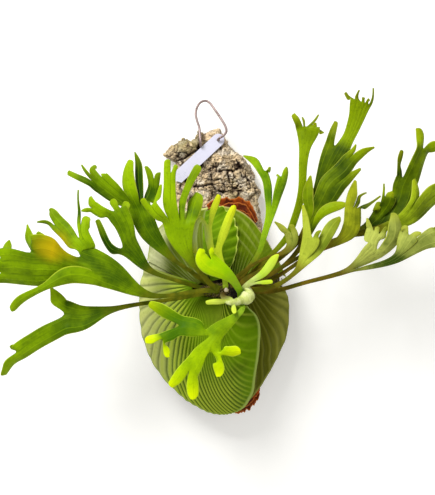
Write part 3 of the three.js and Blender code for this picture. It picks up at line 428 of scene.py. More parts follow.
frondTrees = {
    "left_low": blade(
      [[-22, 110, -30, 2.4], [-44, 120, -34, 2.8], [-72, 128, -38, 3], [-104, 138, -42, 3.4],
        [-129, 146, -47, 4.6], [-147, 150, -51, 8.2], [-166, 153, -57, 14.8], [-181, 154, -57, 19],
        [-189, 154, -57, 21.4]],
      blade([[-207, 152, -75, 12], [-226, 148, -86, 11.3], [-243, 144, -97, 11.6], [-251, 142, -103, 10.8]],
        blade([[-261, 137, -114, 6], [-267, 133, -122, 4.4], [-272, 128, -130, 3.3]]),
        blade([[-257, 141, -96, 4.4]])),
      blade([[-197, 155, -38, 8.8], [-202, 156, -29, 6], [-206, 157, -22, 2.2]])),
    "left_broad": blade(
      [[-18, 120, -25, 2.6], [-41, 130, -28, 3], [-66, 140, -31, 3.3], [-87, 148, -29, 5],
        [-106, 157, -20, 9.2], [-122, 165, -9, 14.8], [-136, 170, -1, 18.7]],
      blade([[-153, 180, -6, 9.2], [-169, 186, -3, 10.4], [-183, 190, -4, 10.4], [-196, 193, -10, 7.5],
          [-208, 194, -17, 4.3], [-224, 192, -25, 4.3], [-240, 188, -34, 5.2], [-249, 184, -44, 4.4]]),
      blade([[-150, 176, 9, 18.4], [-169, 178, 13, 23.2]],
        blade([[-187, 184, 8, 18.2], [-203, 188, 12, 28.5], [-215, 190, 14, 31.5], [-223, 191, 13, 30.8]],
          blade([[-246, 192, 6, 23.6], [-262, 190, 5, 20]],
            blade([[-277, 187, -8, 6.8], [-289, 184, -11, 4.4]]),
            blade([[-255, 190, 29, 6], [-252, 189, 38, 1.2]]),
            blade([[-280, 187, 14, 7.8], [-292, 184, 17, 4.9]])),
          blade([[-228, 191, 39, 6.3], [-230, 189, 51, 2.9], [-231, 188, 57, 1.1]]),
          blade([[-212, 191, 43, 5.6], [-217, 190, 47, 2.4]])),
        blade([[-160, 175, 28, 12.2], [-170, 174, 39, 15.4]],
          blade([[-185, 170, 48, 9.8], [-197, 168, 59, 9.9]],
            blade([[-210, 166, 61, 2.7], [-222, 165, 61, 1]]),
            blade([[-203, 166, 71, 6.2], [-205, 165, 75, 4.2]])),
          blade([[-165, 170, 56, 8.4]],
            blade([[-170, 168, 72, 2], [-172, 167, 87, 1.2], [-172, 166, 100, 1]]),
            blade([[-162, 169, 63, 5.4]]))))),
    "left_middle": blade(
      [[-20, 104, -22, 2.4], [-42, 114, -16, 2.8], [-63, 121, -9, 3.2], [-83, 127, -1, 4.2],
        [-96, 132, 11, 7.4], [-107, 136, 25, 11.4], [-115, 139, 33, 16.1]],
      blade([[-133, 142, 28, 5.8], [-141, 143, 41, 4.5], [-146, 143, 53, 4], [-150, 143, 62, 3.3]]),
      blade([[-116, 141, 55, 11.6], [-122, 142, 67, 13.4], [-127, 142, 76, 14.6]],
        blade([[-146, 143, 74, 7.8], [-155, 144, 80, 7.5]],
          blade([[-163, 144, 77, 3.3], [-170, 144, 76, 1.3]]),
          blade([[-158, 144, 84, 5.5], [-160, 144, 91, 3]])),
        blade([[-131, 142, 86, 5]]),
        blade([[-116, 141, 83, 5.6]]))),
    "left_high": blade(
      [[-15, 106, -16, 2.4], [-35, 114, 0, 2.8], [-56, 119, 14, 3.6], [-72, 122, 31, 7.7], [-85, 124, 47, 12],
        [-94, 125, 65, 14.3], [-101, 125, 84, 15.3]],
      blade([[-129, 124, 96, 11.5], [-142, 123, 107, 12.8], [-151, 123, 115, 14]],
        blade([[-164, 122, 113, 4.3], [-177, 121, 119, 3.8], [-189, 120, 125, 3.3]]),
        blade([[-167, 122, 126, 2.3], [-173, 121, 135, 1]]),
        blade([[-160, 122, 128, 4.6], [-157, 122, 132, 3.3]]),
        blade([[-146, 123, 121, 4.3]])),
      blade([[-113, 126, 103, 9.2], [-114, 127, 125, 7.1], [-111, 127, 137, 4.6]]),
      blade([[-100, 123, 106, 4.6], [-101, 122, 124, 5.1], [-101, 121, 138, 4.3], [-105, 120, 151, 1]]),
      blade([[-86, 122, 91, 9.7], [-82, 121, 107, 6.9]],
        blade([[-86, 120, 122, 4.4], [-91, 119, 132, 2.3]]),
        blade([[-77, 121, 121, 4.1], [-74, 120, 125, 1.3]]))),
    "left_front": blade(
      [[-8, 122, -18, 2.6], [-21, 137, -2, 3.6], [-33, 148, 14, 5.6], [-42, 156, 31, 11.2],
        [-47, 162, 48, 17.3], [-48, 164, 62, 20.8]],
      blade([[-72, 167, 69, 7.4], [-82, 168, 81, 7.9]],
        blade([[-91, 168, 87, 3.9]]),
        blade([[-73, 168, 92, 3.4], [-70, 168, 106, 1.5]])),
      blade([[-59, 167, 82, 8.9], [-59, 167, 103, 7.4], [-59, 167, 121, 7.4]],
        blade([[-62, 166, 134, 4.2]]),
        blade([[-52, 166, 129, 3]])),
      blade([[-45, 164, 80, 4.2], [-40, 164, 97, 4.2], [-33, 163, 113, 4.7], [-25, 162, 127, 5.2]]),
      blade([[-31, 161, 74, 8.9], [-28, 160, 85, 9.2], [-25, 160, 90, 7.4]])),
    "right_inner": blade(
      [[28, 104, -13, 2.4], [42, 109, 6, 2.8], [54, 108, 24, 3.4], [60, 104, 44, 3.9], [66, 100, 63, 4.7],
        [70, 97, 80, 7.2]],
      blade([[66, 94, 99, 5.2], [65, 92, 117, 5.5], [60, 90, 130, 6.5]],
        blade([[51, 88, 142, 5.4], [43, 87, 147, 3.8], [35, 86, 150, 1.2]]),
        blade([[68, 89, 130, 3.2], [69, 88, 134, 2]])),
      blade([[77, 95, 95, 5.4], [83, 94, 112, 6.8], [86, 93, 121, 6.8]],
        blade([[79, 92, 125, 1.8]]),
        blade([[90, 92, 129, 3.9], [91, 91, 134, 1.8]]))),
    "right_tall": blade(
      [[36, 98, -12, 2.4], [58, 103, 9, 2.8], [76, 102, 27, 3.4], [91, 101, 44, 4.2], [99, 100, 63, 4.7],
        [106, 99, 85, 4.8], [110, 98, 110, 5], [111, 98, 133, 5.4], [113, 98, 156, 6.8], [115, 98, 169, 10.2],
        [117, 98, 180, 14.1], [117, 98, 187, 15.4]],
      blade([[104, 98, 194, 4.7], [100, 97, 201, 3.1]]),
      blade([[113, 98, 193, 1.6], [111, 97, 199, 1]]),
      blade([[125, 98, 193, 1.7], [131, 96, 202, 1]]),
      blade([[128, 99, 188, 3.6], [127, 99, 190, 2.3]]),
      blade([[133, 99, 180, 3.1], [137, 99, 179, 1.3]])),
    "right_high": blade(
      [[32, 118, -13, 2.5], [60, 120, 2, 2.9], [82, 121, 18, 3.4], [102, 122, 37, 4.1], [113, 122, 57, 4.9],
        [123, 122, 84, 5.9], [131, 122, 109, 7.4], [138, 123, 128, 10.5], [145, 125, 143, 14],
        [152, 127, 157, 16]],
      blade([[144, 128, 169, 5.3], [147, 128, 180, 4.1], [150, 128, 188, 2.8]]),
      blade([[165, 130, 167, 7.9], [171, 132, 180, 8.6], [177, 134, 196, 10.4], [180, 135, 208, 13.2],
          [182, 136, 214, 14.4]],
        blade([[166, 136, 218, 3], [162, 136, 224, 2]]),
        blade([[175, 137, 219, 2.8], [178, 137, 228, 1]]),
        blade([[184, 137, 218, 2]]),
        blade([[190, 137, 216, 2.3]]),
        blade([[196, 137, 219, 1.6], [196, 137, 230, 1]]))),
    "right_dark": blade(
      [[40, 109, -17, 2.4], [70, 115, -4, 2.8], [93, 121, 15, 3.6], [109, 127, 36, 4.6], [117, 131, 56, 7.1]],
      blade([[127, 135, 77, 10.1], [138, 138, 96, 14.6], [146, 139, 111, 16.4]],
        blade([[156, 139, 127, 10.8], [166, 140, 140, 9.8]],
          blade([[170, 140, 151, 3.5], [174, 140, 159, 1.1]]),
          blade([[180, 141, 147, 5.5], [189, 141, 153, 3], [196, 142, 156, 1.3]])),
        blade([[161, 140, 114, 7.6], [171, 140, 122, 4.3], [179, 141, 128, 2]])),
      blade([[129, 137, 71, 5.3], [143, 140, 80, 6.6], [155, 142, 83, 5], [160, 143, 84, 2.8]]),
      blade([[117, 133, 74, 4.6], [115, 132, 88, 6.2], [115, 131, 101, 6.4], [117, 131, 114, 3.4],
        [118, 131, 120, 1.4]])),
    "right_near": blade(
      [[42, 120, -24, 2.6], [67, 133, -21, 3], [87, 142, -10, 3.5], [101, 149, 3, 4.5], [110, 154, 18, 9.2]],
      blade([[114, 158, 32, 9.9], [116, 160, 42, 10.4]],
        blade([[110, 161, 58, 4.5], [108, 162, 71, 3.2], [106, 162, 81, 1.6]]),
        blade([[123, 161, 46, 3.2], [127, 161, 50, 1.4]])),
      blade([[126, 156, 28, 6], [135, 157, 44, 7.5], [143, 158, 58, 7.2]],
        blade([[150, 158, 65, 3.7]]))),
    "right_small": blade(
      [[20, 112, -13, 2], [40, 118, 4, 2.2], [61, 121, 16, 2.3], [78, 126, 21, 2.8], [90, 130, 28, 5.2],
        [94, 132, 37, 7.1], [93, 133, 48, 8.4]],
      blade([[83, 133, 53, 4.1], [77, 133, 59, 2.3], [73, 133, 62, 1]]),
      blade([[94, 133, 56, 3.5]])),
    "right_low": blade(
      [[43, 110, -25, 2.6], [70, 124, -26, 3], [104, 136, -16, 3.2], [129, 146, -9, 3.4], [154, 156, -2, 4],
        [167, 161, 4, 5.7]],
      blade([[179, 164, 14, 7.9], [189, 167, 23, 11.8], [195, 169, 28, 13]],
        blade([[189, 170, 39, 9.8], [195, 171, 48, 13]],
          blade([[186, 171, 56, 3.7], [184, 171, 65, 1.2]]),
          blade([[196, 172, 53, 2.9]]),
          blade([[206, 172, 52, 3.4], [209, 172, 53, 1.5]])),
        blade([[209, 172, 33, 7.9], [217, 173, 44, 9.6], [218, 174, 58, 8.1]],
          blade([[217, 174, 68, 4.7]]))),
      blade([[187, 170, 6, 3], [205, 178, 11, 3.9], [219, 184, 18, 6.3]],
        blade([[225, 187, 33, 8], [231, 188, 45, 10.9]],
          blade([[227, 188, 52, 4.4]]),
          blade([[239, 190, 46, 4.1], [245, 190, 48, 1.7]])),
        blade([[236, 190, 27, 6.2], [250, 196, 38, 9.8], [261, 200, 43, 12.6]],
          blade([[264, 202, 52, 4.8], [268, 202, 61, 2.4]]),
          blade([[279, 205, 45, 4.5], [290, 207, 50, 2.4]])))),
    "right_mid": blade(
      [[44, 104, -22, 2.4], [75, 108, -9, 2.8], [99, 120, 8, 3.1], [122, 130, 23, 3.3], [143, 138, 33, 4.3],
        [156, 143, 41, 6.5], [165, 147, 50, 10.5], [169, 149, 63, 10.8], [169, 150, 79, 10]],
      blade([[167, 151, 92, 6.2], [169, 151, 102, 4.7], [172, 151, 112, 2]]),
      blade([[176, 152, 87, 2.7], [177, 152, 94, 1.7], [185, 152, 98, 1]]),
      blade([[182, 153, 81, 3.2], [190, 154, 85, 1.5], [202, 155, 93, 1]])),
    "right_far": blade(
      [[46, 98, -24, 2.4], [80, 100, -6, 2.8], [113, 103, 16, 3.1], [142, 107, 35, 3.5], [171, 113, 46, 4.1],
        [196, 119, 55, 9.6], [211, 124, 68, 16.4]],
      blade([[202, 126, 77, 5.2], [205, 126, 85, 3.6]]),
      blade([[216, 132, 86, 8.9], [217, 134, 93, 8.6]],
        blade([[211, 134, 103, 1.5], [211, 134, 110, 1]]),
        blade([[219, 134, 95, 6.1]])),
      blade([[233, 128, 90, 13.5], [236, 129, 104, 14], [241, 130, 116, 14.5]],
        blade([[231, 130, 125, 4.1], [230, 130, 134, 2], [231, 131, 143, 3.2], [233, 131, 151, 2.7]]),
        blade([[251, 131, 130, 10.2], [256, 132, 145, 9.1], [260, 133, 154, 9.4]],
          blade([[257, 133, 168, 5.6], [256, 133, 177, 4.6]]),
          blade([[270, 134, 157, 6.8], [281, 135, 159, 5.3], [290, 136, 163, 2.5]])))),
    "right_back": blade(
      [[44, 92, -18, 2.4], [80, 101, 2, 2.8], [118, 113, 25, 3.1], [157, 124, 42, 3.3], [196, 134, 52, 4.6],
        [227, 142, 61, 7.5], [244, 146, 73, 12.5]],
      blade([[247, 147, 91, 5.8], [248, 148, 104, 4.8], [247, 148, 113, 3]]),
      blade([[261, 148, 87, 11.3], [274, 150, 97, 12.5]],
        blade([[284, 150, 109, 5.2], [291, 150, 118, 2.5]]),
        blade([[289, 151, 96, 5], [299, 151, 99, 2]]))),
    "young_lime": blade([[31, 117, -31, 2.4], [22, 138, -14, 4.5], [9, 150, -2, 8.8], [-10, 157, 10, 13.6]],
      blade([[-21, 160, 18, 7.9], [-20, 161, 24, 4.7]]),
      blade([[-7, 160, 24, 3.7], [-7, 161, 29, 1.5]])),
    "young_fork": blade(
      [[10, 118, -14, 2.4], [8, 127, 0, 3.8], [1, 130, 14, 6.6], [-3, 132, 27, 8.9]],
      blade([[-11, 134, 44, 4.8], [-12, 135, 57, 5]],
        blade([[-20, 139, 66, 3.8], [-27, 142, 60, 4], [-30, 144, 44, 4.1], [-29, 145, 26, 3.4]]),
        blade([[-7, 134, 72, 3.8], [-2, 133, 86, 4.1], [1, 132, 94, 3]])),
      blade([[6, 132, 43, 5.4], [11, 132, 57, 5.4], [16, 131, 71, 4.8], [20, 130, 80, 3.8]])),
    "young_left": blade(
      [[7, 120, -34, 2.2], [19, 140, -38, 4.2]],
      blade([[20, 150, -46, 3], [21, 154, -50, 2.4]]),
      blade([[6, 146, -38, 2.8], [-4, 147, -38, 3.2], [-12, 147, -39, 2.6]])),
    "young_right": blade(
      [[34, 124, -21, 2.2], [44, 138, -13, 3.5]],
      blade([[56, 143, -4, 4.4], [65, 146, 7, 5.2], [71, 148, 16, 4.4], [75, 149, 20, 1.9]]),
      blade([[57, 141, -14, 2.4], [67, 143, -13, 2.3]])),
    "front_hanging": blade(
      [[29, 119, -37, 2.2], [32, 139, -46, 3], [26, 147, -53, 4.2], [16, 152, -62, 6.5], [2, 157, -72, 9.9],
        [-6, 160, -81, 12.9]],
      blade([[-10, 161, -97, 16.8]],
        blade([[4, 162, -103, 11]],
          blade([[15, 162, -99, 6.7], [22, 162, -98, 6.4]]),
          blade([[1, 162, -114, 7.2], [2, 162, -124, 5.9]])),
        blade([[-27, 160, -112, 11.2], [-34, 159, -121, 12.4]],
          blade([[-31, 158, -138, 7.7], [-30, 157, -152, 7]]),
          blade([[-48, 157, -130, 7.7], [-56, 156, -139, 5]]))),
      blade([[-23, 158, -71, 10.2], [-37, 157, -68, 11.7], [-46, 156, -67, 12.4]],
        blade([[-59, 155, -79, 7.2], [-69, 154, -83, 6.5]],
          blade([[-64, 153, -97, 4.5], [-63, 153, -104, 3.2]]),
          blade([[-81, 153, -84, 5.5], [-86, 152, -85, 4.7]])),
        blade([[-59, 155, -54, 7.5], [-72, 155, -46, 7], [-81, 154, -42, 5]]))),
}

crown = {"x": 9, "out": 104, "z": -25, "halfLength": 33, "halfDepth": 14, "halfHeight": 8.5, "feet": (8, 33)}
frondBuild = {
    "levels": 2, "bladeThickness": 0.7, "stalkThickness": 2.4, "stalkTaper": 70, "stalkWidths": (3.4, 7.5),
    "stalkSlimmer": 0.24, "footWider": 0.6, "footReach": 34, "footSunk": 0.75, "rippleHeight": 1.3,
    "ripplePitch": 17, "forkEdge": 0.7, "rollKept": 0.5, "plainToneAndShade": 0.6, "tipLength": 26,
    "tipRows": ((0.6, 0.8), (1.0, 0.42)), "tipSlant": 0.4, "tipBlunt": (0.75, 1.15),
}

# Colours are screen colours. Turn is how far, in degrees, a frond's blades roll about their length, pitch
# how many millimetres one roll takes, and phase where it starts. Cup bows a blade's edges back and fold its
# lobes. Tones run from 0, deep, to 1, fresh: the first blade's, then each fork's in the order in which they
# grow. Each lobe's tone is partly its own colour and partly painted light and shade, lighter or darker as
# the lobe faces the light or turns from it. Fold strength is how much painted shade darkens the creases
# between lobes. Where tipFollows is 1, a tip has its colour only as far as its lobe is fresh.
frondDefaults = {
    "left": {"fresh": (146, 182, 0), "deep": (36, 72, 0), "tip": (156, 184, 10), "stalk": (112, 112, 12),
             "margin": (184, 200, 50), "turn": 20, "pitch": 46, "phase": 0.0, "cup": 0.12, "fold": 0.13,
             "lobeRoll": 20, "slot": "frond_green"},
    "right": {"fresh": (138, 164, 0), "deep": (42, 66, 0), "tip": (162, 170, 18), "stalk": (110, 94, 16),
              "margin": (186, 194, 64), "turn": 24, "pitch": 40, "phase": 1.0, "cup": 0.12, "fold": 0.13,
              "lobeRoll": 22, "slot": "frond_olive"},
    "young": {"fresh": (176, 216, 0), "deep": (96, 152, 0), "tip": (214, 232, 4), "stalk": (150, 186, 40),
              "margin": (206, 232, 60), "turn": 14, "pitch": 30, "phase": 0.5, "cup": 0.2, "fold": 0.12,
              "lobeRoll": 12, "slot": "frond_young"},
}
frondLooks = {
    "left_low": {"phase": 0.6, "tones": (0.4, 0.55, 0.7, 0.45, 0.8)},
    "left_broad": {"phase": 2.2, "patch": (200, 176, 6), "patchAt": (-199, 31), "patchReach": 17,
                   "tones": (0.42, 0.42, 0.4, 0.5, 0.6, 0.5, 0.5, 0.4, 0.7, 0.7, 0.62, 0.4, 0.2, 0.4, 0.6,
                             0.0, 0.6)},
    "left_middle": {"phase": 3.4, "tones": (0.25, 0.05, 0.4, 0.85, 0.7, 0.85, 0.6, 0.5)},
    "left_high": {"phase": 4.4, "tones": (0.4, 0.4, 0.3, 0.2, 0.4, 0.55, 0.9, 0.05, 0.25, 0.4, 0.15)},
    "left_front": {"phase": 5.2, "tones": (0.8, 0.8, 0.8, 0.9, 0.8, 0.8, 0.7, 0.55, 0.5)},
    "right_inner": {"fresh": (150, 190, 10), "deep": (30, 96, 8), "phase": 0.2, "stalkWidths": (2.4, 4.4),
                    "tones": (0.7, 0.5, 0.65, 0.6, 0.7, 0.7, 0.7)},
    "right_tall": {"phase": 1.4, "stalkWidths": (2.2, 4.2), "tones": (0.75, 0.5, 0.4, 0.4, 0.4, 0.4)},
    "right_high": {"phase": 2.6, "tones": (0.3, 0.22, 0.75, 0.3, 0.5, 0.3, 0.3, 0.3)},
    "right_dark": {"phase": 3.6, "tones": (0.35, 0.55, 0.3, 0.22, 0.8, 0.95, 0.55, 0.85)},
    "right_near": {"fresh": (190, 204, 64), "deep": (92, 114, 10), "phase": 4.6,
                   "tones": (0.85, 0.8, 0.75, 0.1, 0.4, 0.25)},
    "right_small": {"fresh": (176, 184, 70), "phase": 5.4, "tones": (0.5, 0.6, 0.4)},
    "right_low": {"fresh": (190, 200, 90), "phase": 0.9,
                  "tones": (0.6, 0.8, 0.9, 0.8, 0.8, 0.2, 0.42, 0.5, 0.2, 0.55, 0.6, 0.75, 0.6, 0.3, 0.5)},
    "right_mid": {"fresh": (172, 180, 30), "phase": 1.9, "tones": (0.6, 0.65, 0.0, 0.0)},
    "right_far": {"phase": 2.9, "tones": (0.25, 0.6, 0.3, 0.7, 0.6, 0.35, 0.15, 0.55, 0.7, 0.8)},
    "right_back": {"fresh": (176, 200, 30), "phase": 3.9, "tones": (0.45, 1.0, 0.5, 0.6, 0.6)},
    "young_lime": {"fresh": (192, 228, 0), "deep": (128, 190, 0), "tones": (0.55, 0.8, 1.0)},
    "young_fork": {"fresh": (204, 222, 44), "deep": (120, 160, 10), "tip": (232, 236, 20), "tipStrength": 0.9,
                   "stalk": (176, 200, 50), "patch": (208, 222, 140), "patchAt": (-30, 46), "patchReach": 18,
                   "tones": (0.85, 0.8, 0.8, 0.9, 0.9)},
    "young_left": {"fresh": (214, 228, 100), "deep": (170, 200, 60), "stalk": (204, 216, 120),
                   "patch": (104, 84, 34), "patchAt": (7, -28), "patchReach": 9},
    "young_right": {"fresh": (200, 224, 80), "deep": (160, 200, 40), "stalk": (204, 214, 130)},
    "front_hanging": {"fresh": (172, 206, 0), "deep": (66, 108, 0), "tip": (230, 248, 0), "tipStrength": 0.95,
                      "tipFollows": 1, "foldStrength": 0.15, "veinStrength": 0.08, "phase": 0.4, "fold": 0.06,
                      "tones": (0.45, 0.5, 0.7, 0.8, 0.8, 0.7, 0.95, 0.7, 0.15, 0.2, 0.8, 0.95, 0.4)},
}


def stationsOf(points, before):
    # At each point: its place, the blade's direction there, its face turned to the front, and its side
    # axis, which is the direction crossed with the face.
    places = np.array([(x, -out, z) for x, out, z, half in points], float)
    earlier = np.vstack([places[:1] if before is None else before[None], places[:-1]])
    along = unit(np.vstack([places[1:], places[-1:]]) - earlier)
    face = unit(frontward - (along @ frontward)[:, None] * along)
    side = np.cross(along, face)
    return [{"centre": p, "along": a, "face": f, "side": s, "half": float(half)}
            for p, a, f, s, (x, out, z, half) in zip(places, along, face, side, points)]


def forksInOrder(one, end):
    # The forks in the order in which they start across the end of their blade.
    def across(fork):
        x, out, z, half = fork["points"][0]
        return (np.array((x, -out, z)) - end["centre"]) @ end["side"]
    return sorted(one["forks"], key=across)


def columnsOf(one, before):
    # Where the lobes meet across a blade's width and where their middles are, from 0 to 1. Each fork takes
    # a share of the width in proportion to its own first width.
    if not one["forks"]:
        return [0.0, 0.5, 1.0]
    end = stationsOf(one["points"], before)[-1]
    forks = forksInOrder(one, end)
    total = sum(fork["points"][0][3] for fork in forks)
    columns, start = [0.0], 0.0
    for fork in forks:
        share = fork["points"][0][3] / total
        columns += [start + value * share for value in columnsOf(fork, end["centre"])[1:]]
        start += share
    return columns


def addRow(cage, station, columns, travelled, look, roll, **values):
    # One row of cage points across the blade. The row is rolled about the blade's direction and widened so
    # that it looks as wide as before, its edges are bowed back, and lobe middles stand out between folds.
    share = np.array(columns)
    start = 1 - math.exp(-travelled / frondBuild["stalkTaper"])
    turn = look["turn"] * math.sin(travelled / look["pitch"] + look["phase"]) + roll
    turn = math.radians(turn) * start
    side = station["side"] * math.cos(turn) + station["face"] * math.sin(turn)
    face = station["face"] * math.cos(turn) - station["side"] * math.sin(turn)
    half = station["half"] / math.cos(turn)
    lobes = (len(columns) - 1) / 2
    middle = np.arange(len(columns)) % 2
    bow = (1 / 3 - (share * 2 - 1) ** 2) * look["cup"] * half
    crease = (middle - 0.5) * look["fold"] * half / lobes * start
    ripple = math.sin(travelled / frondBuild["ripplePitch"] + look["phase"] * 3)
    ripple *= frondBuild["rippleHeight"] * start
    raised = face * (bow + crease + ripple)[:, None]
    row = station["centre"] + side * ((share * 2 - 1) * half)[:, None] + raised
    first = len(cage["points"])
    cage["points"] += list(row)
    outer = np.isin(share, (0.0, 1.0))
    cage["edge"] += list(np.maximum(outer, (middle == 0) * values.get("forking", 0.0)))
    cage["mid"] += list(middle)
    thin, thick = frondBuild["bladeThickness"], frondBuild["stalkThickness"]
    cage["thick"] += [(thin + (thick - thin) * (1 - start)) / thick] * len(columns)
    for title in ("tip", "stalk", "tone"):
        cage[title] += [values.get(title, 0.0)] * len(columns)
    return list(range(first, first + len(columns)))


def joinRows(cage, lower, upper):
    # A four-cornered face between each two neighbours of both rows.
    cage["faces"] += [(lower[i], lower[i + 1], upper[i + 1], upper[i]) for i in range(len(lower) - 1)]


def addTip(cage, end, columns, travelled, look, seam, **values):
    # A rounded tip of two narrower rows, set a little to one side and more or less blunt by a random draw.
    slant = look["tipRandom"].uniform(-1, 1) * frondBuild["tipSlant"]
    blunt = look["tipRandom"].uniform(*frondBuild["tipBlunt"])
    for reach, width in frondBuild["tipRows"]:
        ahead = end["along"] * reach + end["side"] * slant * reach ** 2
        cap = {**end, "centre": end["centre"] + ahead * end["half"], "half": end["half"] * width * blunt}
        row = addRow(cage, cap, columns, travelled, look, **values)
        joinRows(cage, seam, row)
        seam = row


def growBlade(cage, one, look, tone, seam=None, before=None, travelled=0.0, roll=0.0):
    # Rows of points from the blade's first station to its last, then either its forks, each on its own
    # share of the last row, or a rounded tip. Roll and tone, which carries painted light and shade, are the
    # blade's own, given anew to each fork.
    columns = columnsOf(one, before)
    stations = stationsOf(one["points"], before)
    places = np.array([station["centre"] for station in stations])
    steps = np.linalg.norm(np.diff(places, axis=0), axis=1)
    toEnd = np.append(np.cumsum(steps[::-1])[::-1], 0)
    isRoot, isTip = before is None, not one["forks"]
    tipPart = 1 - look.get("tipFollows", 0) * (1 - tone)
    slim, broad = look.get("stalkWidths", frondBuild["stalkWidths"])
    for i, station in enumerate(stations):
        if before is not None:
            travelled += float(np.linalg.norm(station["centre"] - before))
        stalk = float(1 - eased(station["half"], slim, broad)) if isRoot else 0.0
        foot = frondBuild["footWider"] * bell(travelled, frondBuild["footReach"])
        station["half"] *= 1 + (foot - frondBuild["stalkSlimmer"]) * stalk
        tip = max(0.0, 1 - (toEnd[i] + station["half"]) / frondBuild["tipLength"]) * tipPart if isTip else 0.0
        forking = 0.0 if isTip or i < len(stations) - 1 else frondBuild["forkEdge"]
        row = addRow(cage, station, columns, travelled, look, roll, tone=tone, tip=tip, stalk=stalk,
                     forking=forking)
        if seam:
            joinRows(cage, seam, row)
        seam, before = row, station["centre"]
    end = stations[-1]
    if isTip:
        addTip(cage, end, columns, travelled, look, seam, roll=roll, tone=tone, tip=tipPart)
        return
    start = 0
    for fork in forksInOrder(one, end):
        width = len(columnsOf(fork, end["centre"]))
        forkRoll = roll * frondBuild["rollKept"] + look["random"].uniform(-1, 1) * look["lobeRoll"]
        # Each fork's tone is partly its own colour and partly painted light and shade.
        forkToneAndShade = next(look["toneOrder"], frondBuild["plainToneAndShade"])
        growBlade(cage, fork, look, forkToneAndShade, seam[start:start + width], end["centre"], travelled, forkRoll)
        start += width - 1


def addSubdivision(piece, levels):
    # Rounds a cage off, its open edges too.
    rounder = piece.modifiers.new("rounder", "SUBSURF")
    rounder.levels = rounder.render_levels = levels
    rounder.boundary_smooth = "ALL"


def pullCage(piece, target):
    # Subdividing draws a cage in. Twice over, each cage point is moved out by most of what its own point
    # was drawn in.
    count = len(target)
    moved = 0.8
    for attempt in range(2):
        bpy.context.view_layer.update()
        drawn = piece.evaluated_get(bpy.context.evaluated_depsgraph_get()).data
        found = np.empty(len(drawn.vertices) * 3, np.float32)
        drawn.vertices.foreach_get("co", found)
        cage = np.empty(count * 3, np.float32)
        piece.data.vertices.foreach_get("co", cage)
        missing = target * millimetre - found.reshape(-1, 3)[:count]
        piece.data.vertices.foreach_set("co", (cage.reshape(-1, 3) + missing * moved).ravel())
        piece.data.update()


def addThickness(piece, thickness, weights=None):
    # A wall of this thickness, times each point's weight. A second material, if there is one, goes behind.
    wall = piece.modifiers.new("wall", "SOLIDIFY")
    wall.thickness = thickness * millimetre
    wall.offset = 0
    wall.material_offset = len(piece.data.materials) - 1
    if weights is not None:
        group = piece.vertex_groups.new(name="thick")
        rounded = np.round(weights, 3)
        for weight in np.unique(rounded):
            group.add(np.nonzero(rounded == weight)[0].tolist(), float(weight), "REPLACE")
        wall.vertex_group = "thick"


def leafMaterial(name, look):
    # Without colours of their own, a patch has the tip's colour and veins are paler than the blade.
    paler = tuple(min(255, part * 1.1 + 8) for part in look["fresh"])
    own = {"patch": look["tip"], "vein": paler, "tipStrength": 0.5, "foldStrength": 0.5, "veinStrength": 0.25}
    own.update(look)
    values = {title: own[title.lower()] for title in leafColours}
    values.update({title + " Strength": own[title.lower() + "Strength"] for title in ("Tip", "Fold", "Vein")})
    return finishedMaterial(name, leafSurface, values, Specular_IOR_Level=0.06)


def underside(look):
    # The felted underside: the frond's own colours, halfway to pale olive.
    pale = np.array((180, 190, 96))
    titles = ("fresh", "deep", "tip")
    return {**look, **{title: tuple((np.array(look[title]) + pale) / 2) for title in titles}}


def footInCrown(point):
    # A stalk starts near the crown's middle, just under its front, most of the way from its first point.
    x, out, z, half = point
    left, right = crown["feet"]
    heart = np.array([np.clip(x, left, right), crown["out"] + crown["halfDepth"], crown["z"]])
    sunk = frondBuild["footSunk"]
    return [*(np.array([x, out, z]) * (1 - sunk) + heart * sunk), half]


def makeFrond(node, tree):
    # A cage grown from its foot in the crown, rounded off and given its thickness. A patch of another
    # colour is e to the minus fourth power of the distance from its middle over its reach.
    family = "young" if node.startswith("front") else node.split("_")[0]
    look = {**frondDefaults[family], **frondLooks[node]}
    seed = sum(node.encode())
    look["random"] = np.random.default_rng(seed)
    look["tipRandom"] = np.random.default_rng(seed + 1)
    look["toneOrder"] = iter(look.get("tones", ()))
    cage = {title: [] for title in ("points", "faces", "edge", "mid", "thick", "tip", "stalk", "tone")}
    whole = {**tree, "points": [footInCrown(tree["points"][0]), *tree["points"]]}
    growBlade(cage, whole, look, next(look["toneOrder"], frondBuild["plainToneAndShade"]))
    points = np.array(cage["points"])
    values = {title: cage[title] for title in ("edge", "mid", "tip", "stalk", "tone")}
    values["patch"] = np.zeros(len(points))
    if "patchAt" in look:
        away = np.hypot(points[:, 0] - look["patchAt"][0], points[:, 2] - look["patchAt"][1])
        values["patch"] = np.exp(-(away / look["patchReach"]) ** 4)
    materials = [leafMaterial(node + ".front", look), leafMaterial(node + ".back", underside(look))]
    piece = newPiece(node.replace("_", ".") + ".frond", points, cage["faces"], values, materials)
    addSubdivision(piece, frondBuild["levels"])
    pullCage(piece, points)
    addThickness(piece, frondBuild["stalkThickness"], np.array(cage["thick"]))
    finish(piece, look["slot"], node)


for frondNode, frondTree in frondTrees.items():
    makeFrond(frondNode, frondTree)
print("fronds made")


# Shields: sheets on a dome, with ribs from a root line past a belly line to a rim.

ball = {"x": -3, "z": -54, "halfWidth": 97, "halfHeight": 138, "foot": 30.3, "bulge": 64, "roundness": 2.5,
        "flare": 0.12}


def domeOut(x, z):
    # The dome's height falls from the middle as the reach to a power, with a soft flare at its foot.
    reach = np.hypot((x - ball["x"]) / ball["halfWidth"], (z - ball["z"]) / ball["halfHeight"])
    fall = 1 - reach ** ball["roundness"]
    return ball["foot"] + ball["bulge"] * (fall + np.hypot(fall, ball["flare"])) / 2


def domeNormal(x, z):
    # Square to the dome, from its slopes both ways.
    slopeX = domeOut(x + 0.5, z) - domeOut(x - 0.5, z)
    slopeZ = domeOut(x, z + 0.5) - domeOut(x, z - 0.5)
    return unit(stacked(-slopeX, -1.0, -slopeZ))


